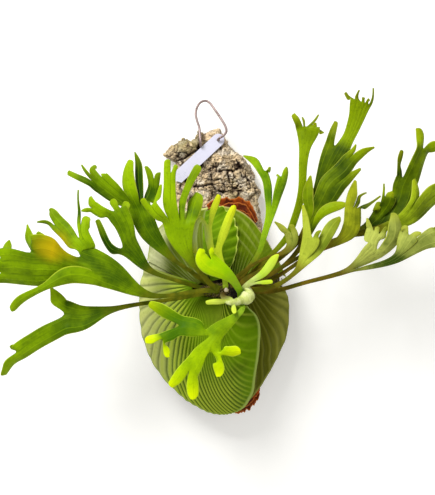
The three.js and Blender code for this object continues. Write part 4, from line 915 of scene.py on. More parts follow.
shieldShapes = {
    "shield_old_upper": {
        "root": [[-6, 40], [10, 40], [22, 38], [28, 32]],
        "belly": [[-10, 66], [15, 70], [35, 66], [42, 52]],
        "rim": [[-15, 90], [14, 97], [42, 93], [56, 68]],
        "lift": 1.3,
    },
    "shield_old_lower": {
        "root": [[40, -120], [26, -128], [14, -130]],
        "belly": [[54, -150], [40, -162], [22, -168]],
        "rim": [[58, -172], [44, -190], [24, -198]],
        "lift": 1.3,
    },
    "shield_lower_right": {
        "root": [[36, -20], [40, -25], [36, -30], [28, -34]],
        "belly": [[66, -18], [74, -44], [66, -80], [44, -100]],
        "rim": [[86, -26], [92, -50], [88, -90], [73, -123], [54, -155], [34, -184]],
        "lift": 6, "rimLift": 1,
    },
    "shield_left": {
        "root": [[12, -34], [6, -35], [-2, -35], [-12, -34], [-22, -32], [-29, -28], [-30, -23], [-24, -18]],
        "belly": [
            [16, -46], [8, -96], [-4, -146], [-34, -152], [-70, -120], [-84, -82], [-82, -40], [-70, -4],
        ],
        "rim": [
            [34, -46], [47, -62], [49, -96], [45, -132], [41, -162], [27, -186], [6, -190],
            [-24, -178], [-49, -158], [-76, -126], [-91, -93], [-97, -56], [-97, -26], [-92, 4],
        ],
        "lift": 10, "rimLift": 1.5,
    },
    "shield_upper_left": {
        "root": [[-28, -24], [-22, -18], [-10, -16]],
        "belly": [[-66, 0], [-60, 24], [-22, 40]],
        "rim": [[-95, 12], [-88, 46], [-56, 74], [-12, 80]],
        "lift": 6, "rimLift": 1,
    },
    "shield_upper_right": {
        "root": [[10, -16], [19, -16], [28, -17], [34, -20]],
        "belly": [[2, 44], [25, 42], [47, 28], [60, 4]],
        "rim": [[0, 78], [24, 74], [42, 60], [56, 40], [68, 20], [84, -12]],
        "lift": 10, "rimLift": 1.5,
    },
    "shield_frill": {
        "root": [[-14, 68], [-17, 40], [-15, 10], [-8, -16]],
        "belly": [[-8, 70], [2, 48], [2, 14], [0, -14]],
        "rim": [[-4, 78], [13, 66], [22, 42], [19, 12], [8, -12]],
        "lift": 15, "rimLift": 2,
    },
}

# Every sheet takes painted shade near the crown, under the fronds, from rootFar of its middle to rootNear.
# A size is that of the noise that the next value scales.
shieldBuild = {"perRib": 12, "rows": 100, "thickness": 1.1, "rootFar": 58, "rootNear": 28, "wanderSize": 30,
               "wander": 0.22, "bendSize": 26, "bend": 0.9, "foldSize": 12, "fadeTo": 0.16,
               "rimFrom": (0.955, 0.98)}

# Pale runs along x from its first number, where the sheet is wholly pale, to its second, where it is green.
# Strong ribs stand left of broad's second x, and below low's first z as far right as lowTo's first x. Finer
# runs in more ribs over a stretch of the way across. Calm weakens the ribs and furrows where the sheet is
# pale. Shaded is where painted shade darkens the sheet along x. A fold is a long crease across the ribs,
# painted pale along it as a highlight, given as where it starts on the way down, how far it climbs over the
# way across, and its width. A sheet without one of these has it far away.
shieldDefaults = {"finer": 0, "finerFrom": (0, 1), "broad": (-900, -800), "low": (-900, -800),
                  "lowTo": (900, 800), "shaded": (800, 900), "calm": 0, "foldShade": (), "ruffle": 0,
                  "ruffles": 1}
shieldLooks = {
    "shield_left": {"green": (104, 142, 0), "dark": (62, 84, 0), "pale": (246, 248, 162),
                    "rib": (172, 188, 56), "rim": (158, 178, 84), "paleFrom": (-92, -34), "calm": 0.6,
                    "broad": (-58, -8), "low": (-158, -104), "lowTo": (44, 10), "ribs": 23, "finer": 13,
                    "finerFrom": (0.14, 0.62), "ribHeight": 1.6, "faint": 0.14, "slot": "shield_green"},
    "shield_lower_right": {"green": (112, 114, 4), "dark": (78, 82, 2), "pale": (150, 152, 60),
                           "rib": (146, 146, 56), "rim": (126, 130, 50), "paleFrom": (96, 140), "ribs": 9,
                           "shaded": (86, 56), "ribHeight": 1.1, "faint": 0.7, "slot": "shield_olive"},
    "shield_upper_left": {"green": (196, 208, 110), "dark": (98, 116, 14), "pale": (240, 242, 184),
                          "rib": (236, 240, 180), "rim": (196, 206, 120), "paleFrom": (-80, -30), "ribs": 9,
                          "shaded": (-74, -52), "ribHeight": 1.2, "faint": 0.3, "calm": 0.5,
                          "slot": "shield_pale"},
    "shield_upper_right": {"green": (118, 144, 12), "dark": (64, 88, 0), "pale": (110, 140, 50),
                           "rib": (146, 162, 66), "rim": (178, 172, 96), "paleFrom": (-90, -60), "ribs": 13,
                           "ribHeight": 0.9, "faint": 0.1, "slot": "shield_green",
                           "foldShade": ((0.97, 0.4, 0.03), (0.78, 0.34, 0.022), (0.6, 0.3, 0.016))},
    "shield_frill": {"green": (118, 156, 6), "dark": (56, 92, 0), "pale": (120, 160, 40),
                     "rib": (140, 172, 30), "rim": (196, 214, 90), "paleFrom": (-90, -60), "ruffle": 2.6,
                     "ruffles": 9, "ribs": 11, "ribHeight": 1.2, "faint": 0.34, "slot": "shield_green"},
}


def shieldPoints(shape, across, down):
    # Over u across the ribs and v down them: a rib runs from the root line by the belly line to the rim as
    # a quadratic curve.
    u, v = np.meshgrid(np.linspace(0, 1, across + 1), np.linspace(0, 1, down + 1))
    root, belly, rim = (lineThrough(shape[line], u) for line in ("root", "belly", "rim"))
    w = v[..., None]
    return u, v, root * (1 - w) ** 2 + belly * 2 * w * (1 - w) + rim * w ** 2


def onDome(flat, raised):
    # Places over the dome, lifted square off it.
    x, z = flat[..., 0], flat[..., 1]
    return stacked(x, -domeOut(x, z), z) + domeNormal(x, z) * raised[..., None]


def makeShield(name, shape, look, *nodes):
    # Ribs stand up as ridges with furrows between them, painted dark as shade. The ridge's height over one
    # rib's width is a cosine to a power, broad where the sheet is pale and narrow where it is green.
    look = {**shieldDefaults, **look}
    build = shieldBuild
    u, v, flat = shieldPoints(shape, (look["ribs"] + look["finer"]) * build["perRib"], build["rows"])
    x, z = flat[..., 0], flat[..., 1]
    place = stacked(x, z, 0)
    # Near the crown: painted shade there, and stronger ribs.
    rooted = eased(np.hypot(x - crown["x"], z - crown["z"]), build["rootFar"], build["rootNear"])
    pale = 1 - eased(x, *look["paleFrom"])
    calm = 1 - look["calm"] * pale
    low = (1 - eased(z, *look["low"])) * eased(x, *look["lowTo"])
    broad = 1 - eased(x, *look["broad"])
    soft = np.maximum(broad, low * 0.8)
    shaded = eased(x, *look["shaded"])
    strong = look["faint"] + (1 - look["faint"]) * np.maximum(np.maximum(broad, low), rooted * 0.8)

    wander = layeredNoise(place, build["wanderSize"], 2, 5) * build["wander"]
    part = u * look["ribs"] + look["finer"] * eased(u, *look["finerFrom"]) + wander
    wave = (1 + np.cos(fullTurn * part)) / 2
    between = (1 - np.cos(2 * fullTurn * part)) / 2
    narrow = 5 - 4 * soft
    fade = eased(v, 0, build["fadeTo"]) * (1 - 0.6 * eased(v, 0.95, 1))
    ridge = fade * strong
    folded = sum(bell(v - at + slope * u, width) for at, slope, width in look["foldShade"])
    folded = folded * eased(u, 0.8, 0.5) * (0.7 + 0.5 * layeredNoise(place, build["foldSize"], 2, 15))

    bend = layeredNoise(place, build["bendSize"], 2, 9) * build["bend"] * eased(v, 0.1, 0.5)
    ruffle = np.sin(fullTurn * u * look["ruffles"]) * look["ruffle"] * eased(v, 0.5, 1)
    ribs = look["ribHeight"] * (ridge * (wave ** (narrow / 2) * 1.6 - 0.8) + folded)
    raised = shape["lift"] + shape.get("rimLift", 0) * v ** 3 + bend + ruffle + ribs

    # Painted shade: dark in the furrows and faintly on their flanks, over the shaded stretch, and near the
    # crown.
    furrowShade = (1 - wave) ** (3 - 0.6 * soft) * ridge * (0.4 + 0.45 * calm)
    furrowShade = np.maximum(furrowShade, np.maximum(shaded * 0.9, rooted * 0.6))
    # Ribs are pale as veins and as painted highlight on the ridges, and folds pale as painted highlight. Tone
    # is pale only outside the painted shade.
    values = {
        "rib": 0.75 * folded + calm * wave ** narrow * ridge * (1 - 0.6 * shaded) * (1 - 0.4 * rooted),
        "furrowShade": furrowShade + 0.16 * between * fade * (1 - soft),
        "tone": np.maximum(pale, low * 0.06) * 0.9 * (1 - 0.6 * rooted) * (1 - shaded),
        "rim": eased(v, *build["rimFrom"]),
    }
    colours = {title: look[title.lower()] for title in shieldColours}
    material = finishedMaterial(name, shieldSurface, colours, bump=0.35, Specular_IOR_Level=0.04)
    piece = newPiece(name, onDome(flat, raised), gridFaces(*u.shape), values, [material])
    addThickness(piece, build["thickness"])
    finish(piece, look["slot"], *nodes)


for shieldNode, shieldLook in shieldLooks.items():
    makeShield(shieldNode.replace("_", "."), shieldShapes[shieldNode], shieldLook, shieldNode)

# An older pale sheet shows in the gap between the two left sheets.
underShape = {
    "root": [[-34, -26], [-34, -22], [-34, -18]],
    "belly": [[-68, -22], [-68, -4], [-64, 12]],
    "rim": [[-93, -20], [-94, 2], [-90, 26]],
    "lift": 2.5,
}
makeShield("shield.under", underShape, {**shieldLooks["shield_upper_left"], "ribs": 5})
print("shields made")


# Each layer of an old sheet is given as its lift and how far it reaches down.
oldLook = {"across": 110, "down": 50, "layers": ((0.0, 1.0), (1.5, 0.86), (2.8, 0.7)), "crumpleSize": 9,
           "crumple": 1.3, "tearSize": 5, "tear": 0.05, "curl": 1.2, "rimFrom": (0.955, 0.99),
           "thickness": 0.5,
           "colours": {"Light": (176, 76, 10), "Dark": (74, 22, 4), "Bright": (214, 124, 50), "Scale": 60.0}}


def makeOldShield(node):
    # Papery old sheets, a few layers deep, each shorter than the one below, crumpled by noise, with torn
    # rims. A layer's way down is drawn again as a curve through its root, its middle and its rim.
    shape = shieldShapes[node]
    rows, columns = oldLook["down"] + 1, oldLook["across"] + 1
    u, v, whole = shieldPoints(shape, oldLook["across"], oldLook["down"])
    root, middle, rim = whole[:1], whole[rows // 2:rows // 2 + 1], whole[-1:]
    points, faces, shade = [], [], []
    for layer, (lift, reach) in enumerate(oldLook["layers"]):
        ragged = layeredNoise(stacked(u * 40, 0, layer * 9), oldLook["tearSize"], 3, 21)
        w = (v * (reach + oldLook["tear"] * ragged))[..., None]
        flat = root * (1 - w) * (1 - 2 * w) + middle * 4 * w * (1 - w) + rim * w * (2 * w - 1)
        place = stacked(flat[..., 0], layer * 30, flat[..., 1])
        crumple = layeredNoise(place, oldLook["crumpleSize"], 4, 31) * oldLook["crumple"]
        raised = shape["lift"] + lift + crumple + oldLook["curl"] * v ** 6
        points.append(onDome(flat, raised).reshape(-1, 3))
        faces += gridFaces(rows, columns, first=layer * rows * columns).tolist()
        # Painted shade in the crumple's dips; each higher layer is also a darker brown.
        shade.append(np.clip(0.25 - crumple * 0.7 + 0.2 * layer, 0, 0.85))
    pale = [eased(v, *oldLook["rimFrom"]) * 0.7] * len(oldLook["layers"])
    material = finishedMaterial(node, fibreSurface, oldLook["colours"], bump=0.6, bumpDepth=0.0008,
                                Specular_IOR_Level=0.15)
    values = {"shade": shade, "pale": pale}
    piece = newPiece(node.replace("_", "."), np.vstack(points), faces, values, [material])
    addThickness(piece, oldLook["thickness"])
    finish(piece, "old_shield", node)


for oldNode in ("shield_old_upper", "shield_old_lower"):
    makeOldShield(oldNode)
print("old shields made")


# Root ball: the dome under the shields with its flat back, matted with roots.

ballLook = {"slopeRings": 60, "footRings": 6, "backRings": 24, "around": 300, "tuck": 0.95, "matSize": 9,
            "mat": 1.5, "roots": 260, "rootStations": 20, "rootSides": 5, "rootLength": (0.12, 0.5),
            "rootLevel": (0.80, 0.97), "rootRadius": (0.4, 0.95), "seed": 7,
            "colours": {"Light": (112, 98, 40), "Dark": (44, 38, 14), "Bright": (150, 136, 70),
                        "Scale": 120.0}}


def makeRootBall():
    # Rings from the dome's top down its slope, round its foot and in again behind, roughened inwards by
    # noise that is drawn out around the ball like matted roots.
    slope, foot, behind = (ballLook[k] for k in ("slopeRings", "footRings", "backRings"))
    reach = np.concatenate([np.linspace(0.04, 1, slope), np.ones(foot), np.linspace(0.98, 0.1, behind)])
    reach = reach[:, None] * ballLook["tuck"]
    depth = np.concatenate([np.zeros(slope), np.linspace(0.1, 1, foot), np.ones(behind)])[:, None]
    turn = turns(ballLook["around"])
    x = ball["x"] + reach * ball["halfWidth"] * np.cos(turn)
    z = ball["z"] + reach * ball["halfHeight"] * np.sin(turn)
    out = domeOut(x, z) * (1 - depth) + (ball["foot"] + 0.4) * depth
    rings = stacked(x, -out, z)
    drawn = stacked(reach * 60, 0, np.cos(turn) * 14)
    mat = layeredNoise(rings, ballLook["matSize"], 4, 41) + 0.6 * layeredNoise(drawn, 3, 2, 43)
    centre = np.array([ball["x"], -ball["foot"] - 20, ball["z"]])
    sunk = (ballLook["mat"] * (1 - mat) * 0.6)[..., None]
    depth = depth[..., None]
    rings = rings + unit(centre - rings) * sunk * (1 - depth) + frontward * depth * np.clip(sunk, 0, 2)
    # Painted shade in the dips where the matted roots sink in.
    values = {"shade": np.clip(0.35 - mat * 0.5, 0, 0.9), "pale": np.zeros_like(mat)}
    material = finishedMaterial("roots", fibreSurface, ballLook["colours"], bump=0.8, bumpDepth=0.001)
    ends = rings[0].mean(axis=0), rings[-1].mean(axis=0)
    finish(closedRings("root.ball", rings, ends, values, material), "roots", "root_ball")
    return material


def makeRoots(material):
    # Thin roots that creep over the lower slope and the foot, each a path that wanders in angle and reach.
    random = np.random.default_rng(ballLook["seed"])
    count, stations, sides = (ballLook[k] for k in ("roots", "rootStations", "rootSides"))

    def drawn(low, high):
        return random.uniform(low, high, (count, 1))

    t = np.linspace(0, 1, stations)
    start = drawn(0, fullTurn)
    length = drawn(*ballLook["rootLength"]) * random.choice([-1, 1], (count, 1))
    level = drawn(*ballLook["rootLevel"])
    wave = drawn(0.008, 0.03) * np.sin(t * drawn(4, 11) + start * 5)
    turn = start + length * t
    reach = np.minimum(level + wave, 0.985)
    x = ball["x"] + reach * ball["halfWidth"] * np.cos(turn)
    z = ball["z"] + reach * ball["halfHeight"] * np.sin(turn)
    out = np.maximum(domeOut(x, z) - 0.4, ball["foot"] + 1.2)
    radii = drawn(*ballLook["rootRadius"]) * (1 - 0.75 * t ** 3)
    rings = tubesAlong(stacked(x, -out, z), radii, sides)
    shade = np.broadcast_to(drawn(0, 0.5)[..., None], rings.shape[:3])
    pale = np.broadcast_to(drawn(0, 0.5)[..., None] * t[:, None] ** 2, rings.shape[:3])
    faces = tubeFaces(count, stations, sides)
    finish(newPiece("root.strands", rings, faces, {"shade": shade, "pale": pale}, [material]), "roots")


makeRoots(makeRootBall())
print("root ball made")


# Bark: rings of the slab's outline from its flat back round the edge to the front, broken into plates.

slabOutline = [
    [-75, 159], [-66, 169], [-48, 181], [-38, 178], [-31, 181], [-26, 191], [-17, 187], [-9, 192], [2, 195],
    [6, 187], [12, 178], [22, 165], [36, 156], [48, 137], [55, 116], [60, 108], [56, 98], [62, 60], [66, 0],
    [62, -60], [54, -110], [30, -150], [0, -160], [-34, -150], [-58, -106], [-66, -50], [-64, 10], [-62, 60],
    [-60, 98], [-62, 110], [-59, 124], [-57, 147],
]
# Shares say how strongly each kind of break takes the cracks' colour. A stretch is along x, out and z.
barkLook = {
    "middle": (0, 115), "around": 460, "fineAbove": 90, "fineness": 3.2, "edgeRings": 22, "faceRings": 100,
    "edgePart": 0.19, "facePart": 0.2, "frontPart": (0.12, 0.22), "backPart": 0.04, "dressedTop": 100,
    "dressedBlend": 22, "relief": 2.4, "warpSize": 12, "warp": 3, "plateSize": 13,
    "plateStretch": (1, 1, 1.25), "plateHeight": 3.6, "plateGap": 0.12, "chipSize": 4.6,
    "chipStretch": (1, 1, 1.6), "chipHeight": 1.6, "chipGap": 0.2, "chipDepth": 0.8, "crackDepth": 3.4,
    "fissureSize": 12, "uprightStretch": (1, 1, 0.5), "levelStretch": (0.5, 0.5, 1.3), "fissureDepth": 3.0,
    "splitDepth": 5.5, "splitWidth": 1.5, "grainSize": 3.6, "grain": 1.2, "pitSize": 4.5, "lichenSize": 24,
    "shares": {"gap": 0.6, "chipGap": 0.3, "fissure": 0.85, "split": 1, "pits": 0.4},
    "colours": {"Grey": (232, 208, 166), "Tan": (252, 222, 176), "Deep": (58, 38, 22),
                "Light": (250, 236, 212), "Lichen": (146, 136, 56)},
}
# At its stops from the flat back round the edge to the middle of the front, the slab stands this far out, and
# its outline is drawn in by this scale.
barkProfile = {"stops": (0, 0.04, 0.10, 0.15, 0.19, 1), "out": (0, 8, 20, 27, 30, 30),
               "scale": (0.98, 1, 0.99, 0.95, 0.86, 0.01)}
# Deep splits, as x and z along each, and lumps that stand out, as x, z, reach and height.
barkSplits = (
    ((-70, 152), (-58, 148), (-46, 152), (-34, 161), (-26, 163)), ((-26, 188), (-25, 176), (-27, 162)),
    ((-36, 113), (-18, 115), (-8, 117), (-2, 108), (8, 106), (22, 105)), ((-9, 130), (-7, 117)),
    ((-2, 134), (9, 136), (22, 135), (32, 140)), ((14, 132), (17, 119)), ((6, 122), (10, 113)),
    ((40, 92), (54, 106)), ((-18, 152), (-24, 140), (-30, 126)), ((-8, 104), (-2, 92)),
    ((26, 150), (34, 136), (42, 122)), ((-52, 112), (-46, 104), (-40, 92)),
)
barkLumps = ((-54, 165, 17, 6), (-36, 171, 12, 4), (12, 158, 16, 3), (30, 118, 18, 2.5), (-10, 122, 14, 2))


def awayFromLine(x, z, line):
    # The distance from each place to the nearest point of a line of straight stretches.
    nearest = np.full(x.shape, np.inf)
    for (x0, z0), (x1, z1) in zip(line[:-1], line[1:]):
        along = ((x - x0) * (x1 - x0) + (z - z0) * (z1 - z0)) / ((x1 - x0) ** 2 + (z1 - z0) ** 2)
        along = np.clip(along, 0, 1)
        nearest = np.minimum(nearest, np.hypot(x - x0 - along * (x1 - x0), z - z0 - along * (z1 - z0)))
    return nearest


def slabRings():
    # The plain slab as rings, the way along them from back to front, and the way out at each point. Points
    # are closer together where the outline is seen.
    look = barkLook
    corners = np.array(slabOutline + slabOutline[:1], float)
    weight = np.where((corners[1:, 1] + corners[:-1, 1]) / 2 > look["fineAbove"], look["fineness"], 1)
    length = np.append(0, np.cumsum(np.linalg.norm(np.diff(corners, axis=0), axis=1) * weight))
    at = np.arange(look["around"]) / look["around"] * length[-1]
    edge = np.stack([np.interp(at, length, corners[:, axis]) for axis in (0, 1)], axis=-1)
    ring = np.concatenate([np.linspace(0, look["edgePart"], look["edgeRings"]),
                           np.linspace(look["facePart"], 1, look["faceRings"])])
    out = np.interp(ring, barkProfile["stops"], barkProfile["out"])[:, None]
    scale = np.interp(ring, barkProfile["stops"], barkProfile["scale"])
    middle = np.array(look["middle"])
    flat = middle + (edge - middle) * scale[:, None, None]
    rings = stacked(flat[..., 0], -out, flat[..., 1])
    around = np.roll(rings, -1, axis=1) - np.roll(rings, 1, axis=1)
    normal = unit(np.cross(np.gradient(rings, axis=0), around))
    outward = unit(rings - np.array([0, -barkProfile["out"][1], middle[1]]))
    return rings, ring[:, None], normal * np.sign((normal * outward).sum(axis=-1, keepdims=True))


def brokenUp(points, size, stretch, gapWidth, seed):
    # Plates of this size: each plate's own number, and a bell along the gaps between plates.
    first, second, own = cellNoise(points * np.array(stretch), size, seed)
    return own, bell(second - first, gapWidth)


def makeBark():
    # The height over the plain slab is each plate's own level and each chip's, less the cracks between
    # plates and the deep splits, and it fades where the root ball stands.
    look = barkLook
    rings, ring, normal = slabRings()
    x, z = rings[..., 0], rings[..., 2]
    warped = rings + look["warp"] * stacked(*(softNoise(rings, look["warpSize"], 60 + k) for k in range(3)))
    plate, gap = brokenUp(warped, look["plateSize"], look["plateStretch"], look["plateGap"], 51)
    gap *= eased(softNoise(rings, 19, 52), -0.45, 0.15) * 0.5
    chip, chipGap = brokenUp(warped, look["chipSize"], look["chipStretch"], look["chipGap"], 55)
    chipGap *= eased(softNoise(rings, 11, 57), -0.3, 0.3)
    upright = layeredNoise(warped * np.array(look["uprightStretch"]), look["fissureSize"], 3, 61)
    level = layeredNoise(warped * np.array(look["levelStretch"]), look["fissureSize"], 3, 67)
    fissure = np.maximum(bell(upright, 0.10) * eased(softNoise(rings, 14, 73), -0.3, 0.2),
                         bell(level, 0.09) * eased(softNoise(rings, 14, 77), -0.3, 0.2))
    plate = np.clip(plate * 0.35 + 0.35 * eased(upright, -0.1, 0.1) + 0.3 * eased(level, -0.1, 0.1), 0, 1)
    split = sum(bell(awayFromLine(x, z, line), look["splitWidth"]) for line in barkSplits)
    split = np.clip(split * (0.7 + 0.5 * softNoise(rings, 7, 71)), 0, 1)
    lump = sum(high * bell(np.hypot(x - a, z - b), reach) for a, b, reach, high in barkLumps)
    swell = (np.sin(x * 0.21 + z * 0.05) + np.sin(z * 0.17 - x * 0.09) + np.sin(x * 0.37 + z * 0.31)) / 3
    front = eased(ring, *look["frontPart"])
    above = eased(z, look["dressedTop"] - look["dressedBlend"], look["dressedTop"])
    height = look["plateHeight"] * (plate - 0.5) + look["chipHeight"] * (chip - 0.5)
    height += look["grain"] * layeredNoise(rings, look["grainSize"], 3, 81)
    height -= look["crackDepth"] * gap + look["chipDepth"] * chipGap + look["fissureDepth"] * fissure
    height += front * (lump - look["splitDepth"] * split + look["relief"] * above * swell)
    shown = np.where(front > 0.5, above, 0.8) * eased(ring, 0.0, look["backPart"])
    rings = rings + normal * (height * shown)[..., None]
    pits = eased(layeredNoise(rings, look["pitSize"], 3, 85), -0.05, -0.6)
    lichen = eased(z, 150, 172) * eased(-x, 14, 34) * 0.7
    lichen += eased(softNoise(rings, look["lichenSize"], 91), 0.35, 0.7) * 0.5
    breaks = {"gap": gap, "chipGap": chipGap, "fissure": fissure, "split": split, "pits": pits}
    crack = sum(look["shares"][title] * depth for title, depth in breaks.items())
    values = {"crack": np.clip(crack, 0, 1) * shown, "plate": plate, "lichen": np.clip(lichen, 0, 1) * shown}
    x, z = look["middle"]
    ends = np.array([[x, 0, z], [x, -barkProfile["out"][-1], z]])
    material = finishedMaterial("bark", barkSurface, look["colours"], bump=0.9, bumpDepth=0.0012)
    finish(closedRings("bark.slab", rings, ends, values, material), "bark", "bark_slab")


makeBark()
print("bark made")


# Crown: the short thick rhizome, an uneven ellipsoid covered with narrow brown scales.

# Past the hollow's two x values the crown is painted dark as the shadow in the hollow between the stalks.
# A scale is a strip of rows, each as its part of the scale's length and of its width.
crownLook = {"rings": 40, "around": 72, "scales": 900, "scaleLength": 5.0, "scaleWidth": 1.5,
             "scaleRows": ((0, 0.5), (0.35, 1.0), (0.7, 0.6), (1.0, 0.06)), "seed": 11, "hollowShadow": (12, 18),
             "colours": {"Light": (150, 126, 34), "Dark": (16, 6, 2), "Bright": (200, 190, 130),
                         "Scale": 200.0}}
crownHalves = np.array([crown["halfLength"], crown["halfDepth"], crown["halfHeight"]])


def onCrown(unitPlace, grow=0.0):
    # The ellipsoid, with each half axis uneven by a product of two waves, then grown square to the axes.
    x, y, z = unitPlace[..., 0], unitPlace[..., 1], unitPlace[..., 2]
    uneven = 1 + 0.04 * np.sin(x * 9 + z * 5) * np.sin(z * 7 - y * 6)
    centre = np.array([crown["x"], -crown["out"], crown["z"]])
    return centre + unitPlace * (crownHalves * uneven[..., None] + np.asarray(grow)[..., None])


def makeCrown():
    # Rings along the crown from one end to the other, roughened by layered noise, with painted shade where it
    # dips and painted shadow past the hollow.
    level = np.linspace(0.03, 0.97, crownLook["rings"])[:, None] * math.pi
    turn = turns(crownLook["around"])
    unitPlace = stacked(np.cos(level), np.sin(level) * np.cos(turn), np.sin(level) * np.sin(turn))
    rough = layeredNoise(unitPlace * np.array([9, 20, 20]), 5, 4, 13) * 0.9
    rings = onCrown(unitPlace, rough - 0.5)
    # Painted shadow in the hollow between the stalks, past its two x values.
    hollowShadow = eased(rings[..., 0], *crownLook["hollowShadow"])
    values = {"shade": np.clip(0.15 - rough * 0.6 + hollowShadow * 0.8, 0, 1), "pale": np.zeros_like(rough)}
    ends = onCrown(np.array([[1.0, 0, 0], [-1.0, 0, 0]]))
    material = finishedMaterial("crown", fibreSurface, crownLook["colours"], bump=0.8, bumpDepth=0.0008)
    finish(closedRings("crown.core", rings, ends, values, material), "crown", "crown")
    makeScales(material)


def makeScales(material):
    # Each scale grows from a random place on the crown, leaning forwards and down along its surface. It is
    # a keeled strip, arched by a sine over its length.
    random = np.random.default_rng(crownLook["seed"])
    count = crownLook["scales"]
    base = unit(random.normal(size=(count, 3)))
    foot = onCrown(base)
    outward = unit(base / crownHalves)
    lean = unit(random.normal(size=foot.shape) * 0.5 + np.array([0, -0.5, -0.5]))
    along = unit(lean - (lean * outward).sum(axis=-1, keepdims=True) * outward * 0.75)
    aside = unit(np.cross(along, outward))
    t, width = np.array(crownLook["scaleRows"]).T
    length = crownLook["scaleLength"] * random.uniform(0.6, 1.3, (count, 1, 1))
    arch = outward[:, None] * (np.sin(t * 2.2)[:, None] * 1.1)
    spine = foot[:, None] + along[:, None] * (t[:, None] * length) + arch
    half = aside[:, None] * (width[:, None] * crownLook["scaleWidth"] / 2)
    keel = outward[:, None] * (width[:, None] * 0.35)
    rows = np.stack([spine - half, spine + keel, spine + half, spine - keel], axis=2)
    # Scales in the hollow take its painted shadow, and lose their paler tips there.
    hollowShadow = eased(foot[:, 0], *crownLook["hollowShadow"])[:, None, None]
    shade = random.uniform(0, 0.5, (count, 1, 1)) * (1 - hollowShadow) + hollowShadow * 0.95
    pale = random.uniform(0, 0.5, (count, 1, 1)) ** 2 * t[:, None] * (1 - hollowShadow)
    values = {"shade": np.broadcast_to(shade, rows.shape[:3]), "pale": np.broadcast_to(pale, rows.shape[:3])}
    faces = tubeFaces(count, rows.shape[1], rows.shape[2])
    finish(newPiece("crown.scales", rows, faces, values, [material], closed=True), "crown")


eyeLook = {"at": (11.3, 120, -24.4), "radius": 2.9, "length": 8, "lean": (-0.15, -1.0, 0.12), "rings": 26,
           "around": 36, "scales": 3, "winding": 2.2, "seam": 0.16, "seamWidth": 0.35,
           "colours": {"Light": (252, 226, 200), "Dark": (226, 190, 150), "Bright": (255, 244, 230)}}


def makeEye():
    # A sleeping bud on the crown: a pale blunt cone that faces front, wrapped in a few scales whose seams
    # wind round it. Its radius along its length is the sine of the way to a power, less a groove at each
    # seam.
    t = np.linspace(0.02, 0.98, eyeLook["rings"])[:, None]
    turn = turns(eyeLook["around"])
    seam = bell(1 + np.cos((turn - t * eyeLook["winding"]) * eyeLook["scales"]), eyeLook["seamWidth"])
    radius = eyeLook["radius"] * np.sin(math.pi * t ** 1.5) ** 0.6 * (1 - eyeLook["seam"] * seam)
    x, out, z = eyeLook["at"]
    base = np.array([x, -out, z])
    lean = unit(np.array(eyeLook["lean"]))
    aside = unit(np.cross(lean, np.array([0, 0, 1.0])))
    rings = base + lean * ((t - 0.5) * eyeLook["length"])[..., None]
    rings = rings + ringOf(aside, np.cross(aside, lean), eyeLook["around"]) * radius[..., None]
    ends = base + lean * eyeLook["length"] * np.array([[-0.5], [0.5]])
    values = {"shade": seam * 0.5, "pale": t * np.ones_like(seam) * 0.5}
    material = finishedMaterial("eye", fibreSurface, eyeLook["colours"], bump=0.3, bumpDepth=0.0003)
    finish(closedRings("crown.eye", rings, ends, values, material), "crown")


makeEye()
makeCrown()
print("crown made")


# Bud: a young frond still folded up, a pale swollen body that tapers into a stem on each side, clad in fine
# hairs. A point of its path is x, out, z, radius.

budLook = {
    "path": [(10, 147, -38.5, 1.6), (16, 145, -39, 3.2), (22, 141, -38.6, 4.2), (26, 138, -37.8, 4.8),
             (31, 133, -36.5, 5.8), (36.5, 130, -34, 8.6), (39.5, 128, -31, 8.4), (39.5, 126, -26, 5.2),
             (37, 125, -21.5, 3.2), (35, 124, -18, 2.0)],
    "endRadius": 0.3, "stations": 72, "sides": 28, "lumpSize": 7, "lumpHeight": 0.1, "hairs": 700,
    "hairLength": 0.9, "hairWidth": 0.16, "hairSlant": (0.2, 0.9, 0.4), "seed": 17,
    "colours": {"Light": (214, 222, 136), "Dark": (176, 190, 84), "Bright": (236, 240, 184), "Scale": 160.0},
}


def makeBud():
    # A tube along a smooth line through the path's points, its radius a smooth line too, uneven by soft
    # noise.
    count, sides = budLook["stations"], budLook["sides"]
    path = lineThrough(budLook["path"], np.linspace(0, 1, count)) * np.array([1, -1, 1, 1])
    path, radii = path[:, :3], path[:, 3]
    radii[[0, -1]] = budLook["endRadius"]
    rings = tubesAlong(path[None], radii[None], sides)
    lumps = layeredNoise(rings, budLook["lumpSize"], 3, 19)
    centres = path[None, :, None]
    rings = centres + (rings - centres) * (1 + budLook["lumpHeight"] * lumps[..., None])
    # Painted shade in the dips between the lumps and painted light on the lumps.
    values = {"shade": np.clip(-lumps * 0.5, 0, 0.5), "pale": np.clip(lumps * 0.8, 0, 0.7)}
    material = finishedMaterial("bud", fibreSurface, budLook["colours"], bump=0.3, bumpDepth=0.0003,
                                Specular_IOR_Level=0.2)
    faces = tubeFaces(1, count, sides)
    finish(newPiece("bud.body", rings, faces, values, [material], closed=True), "bud", "crown_bud")
    makeHairs(path, rings[0], material)


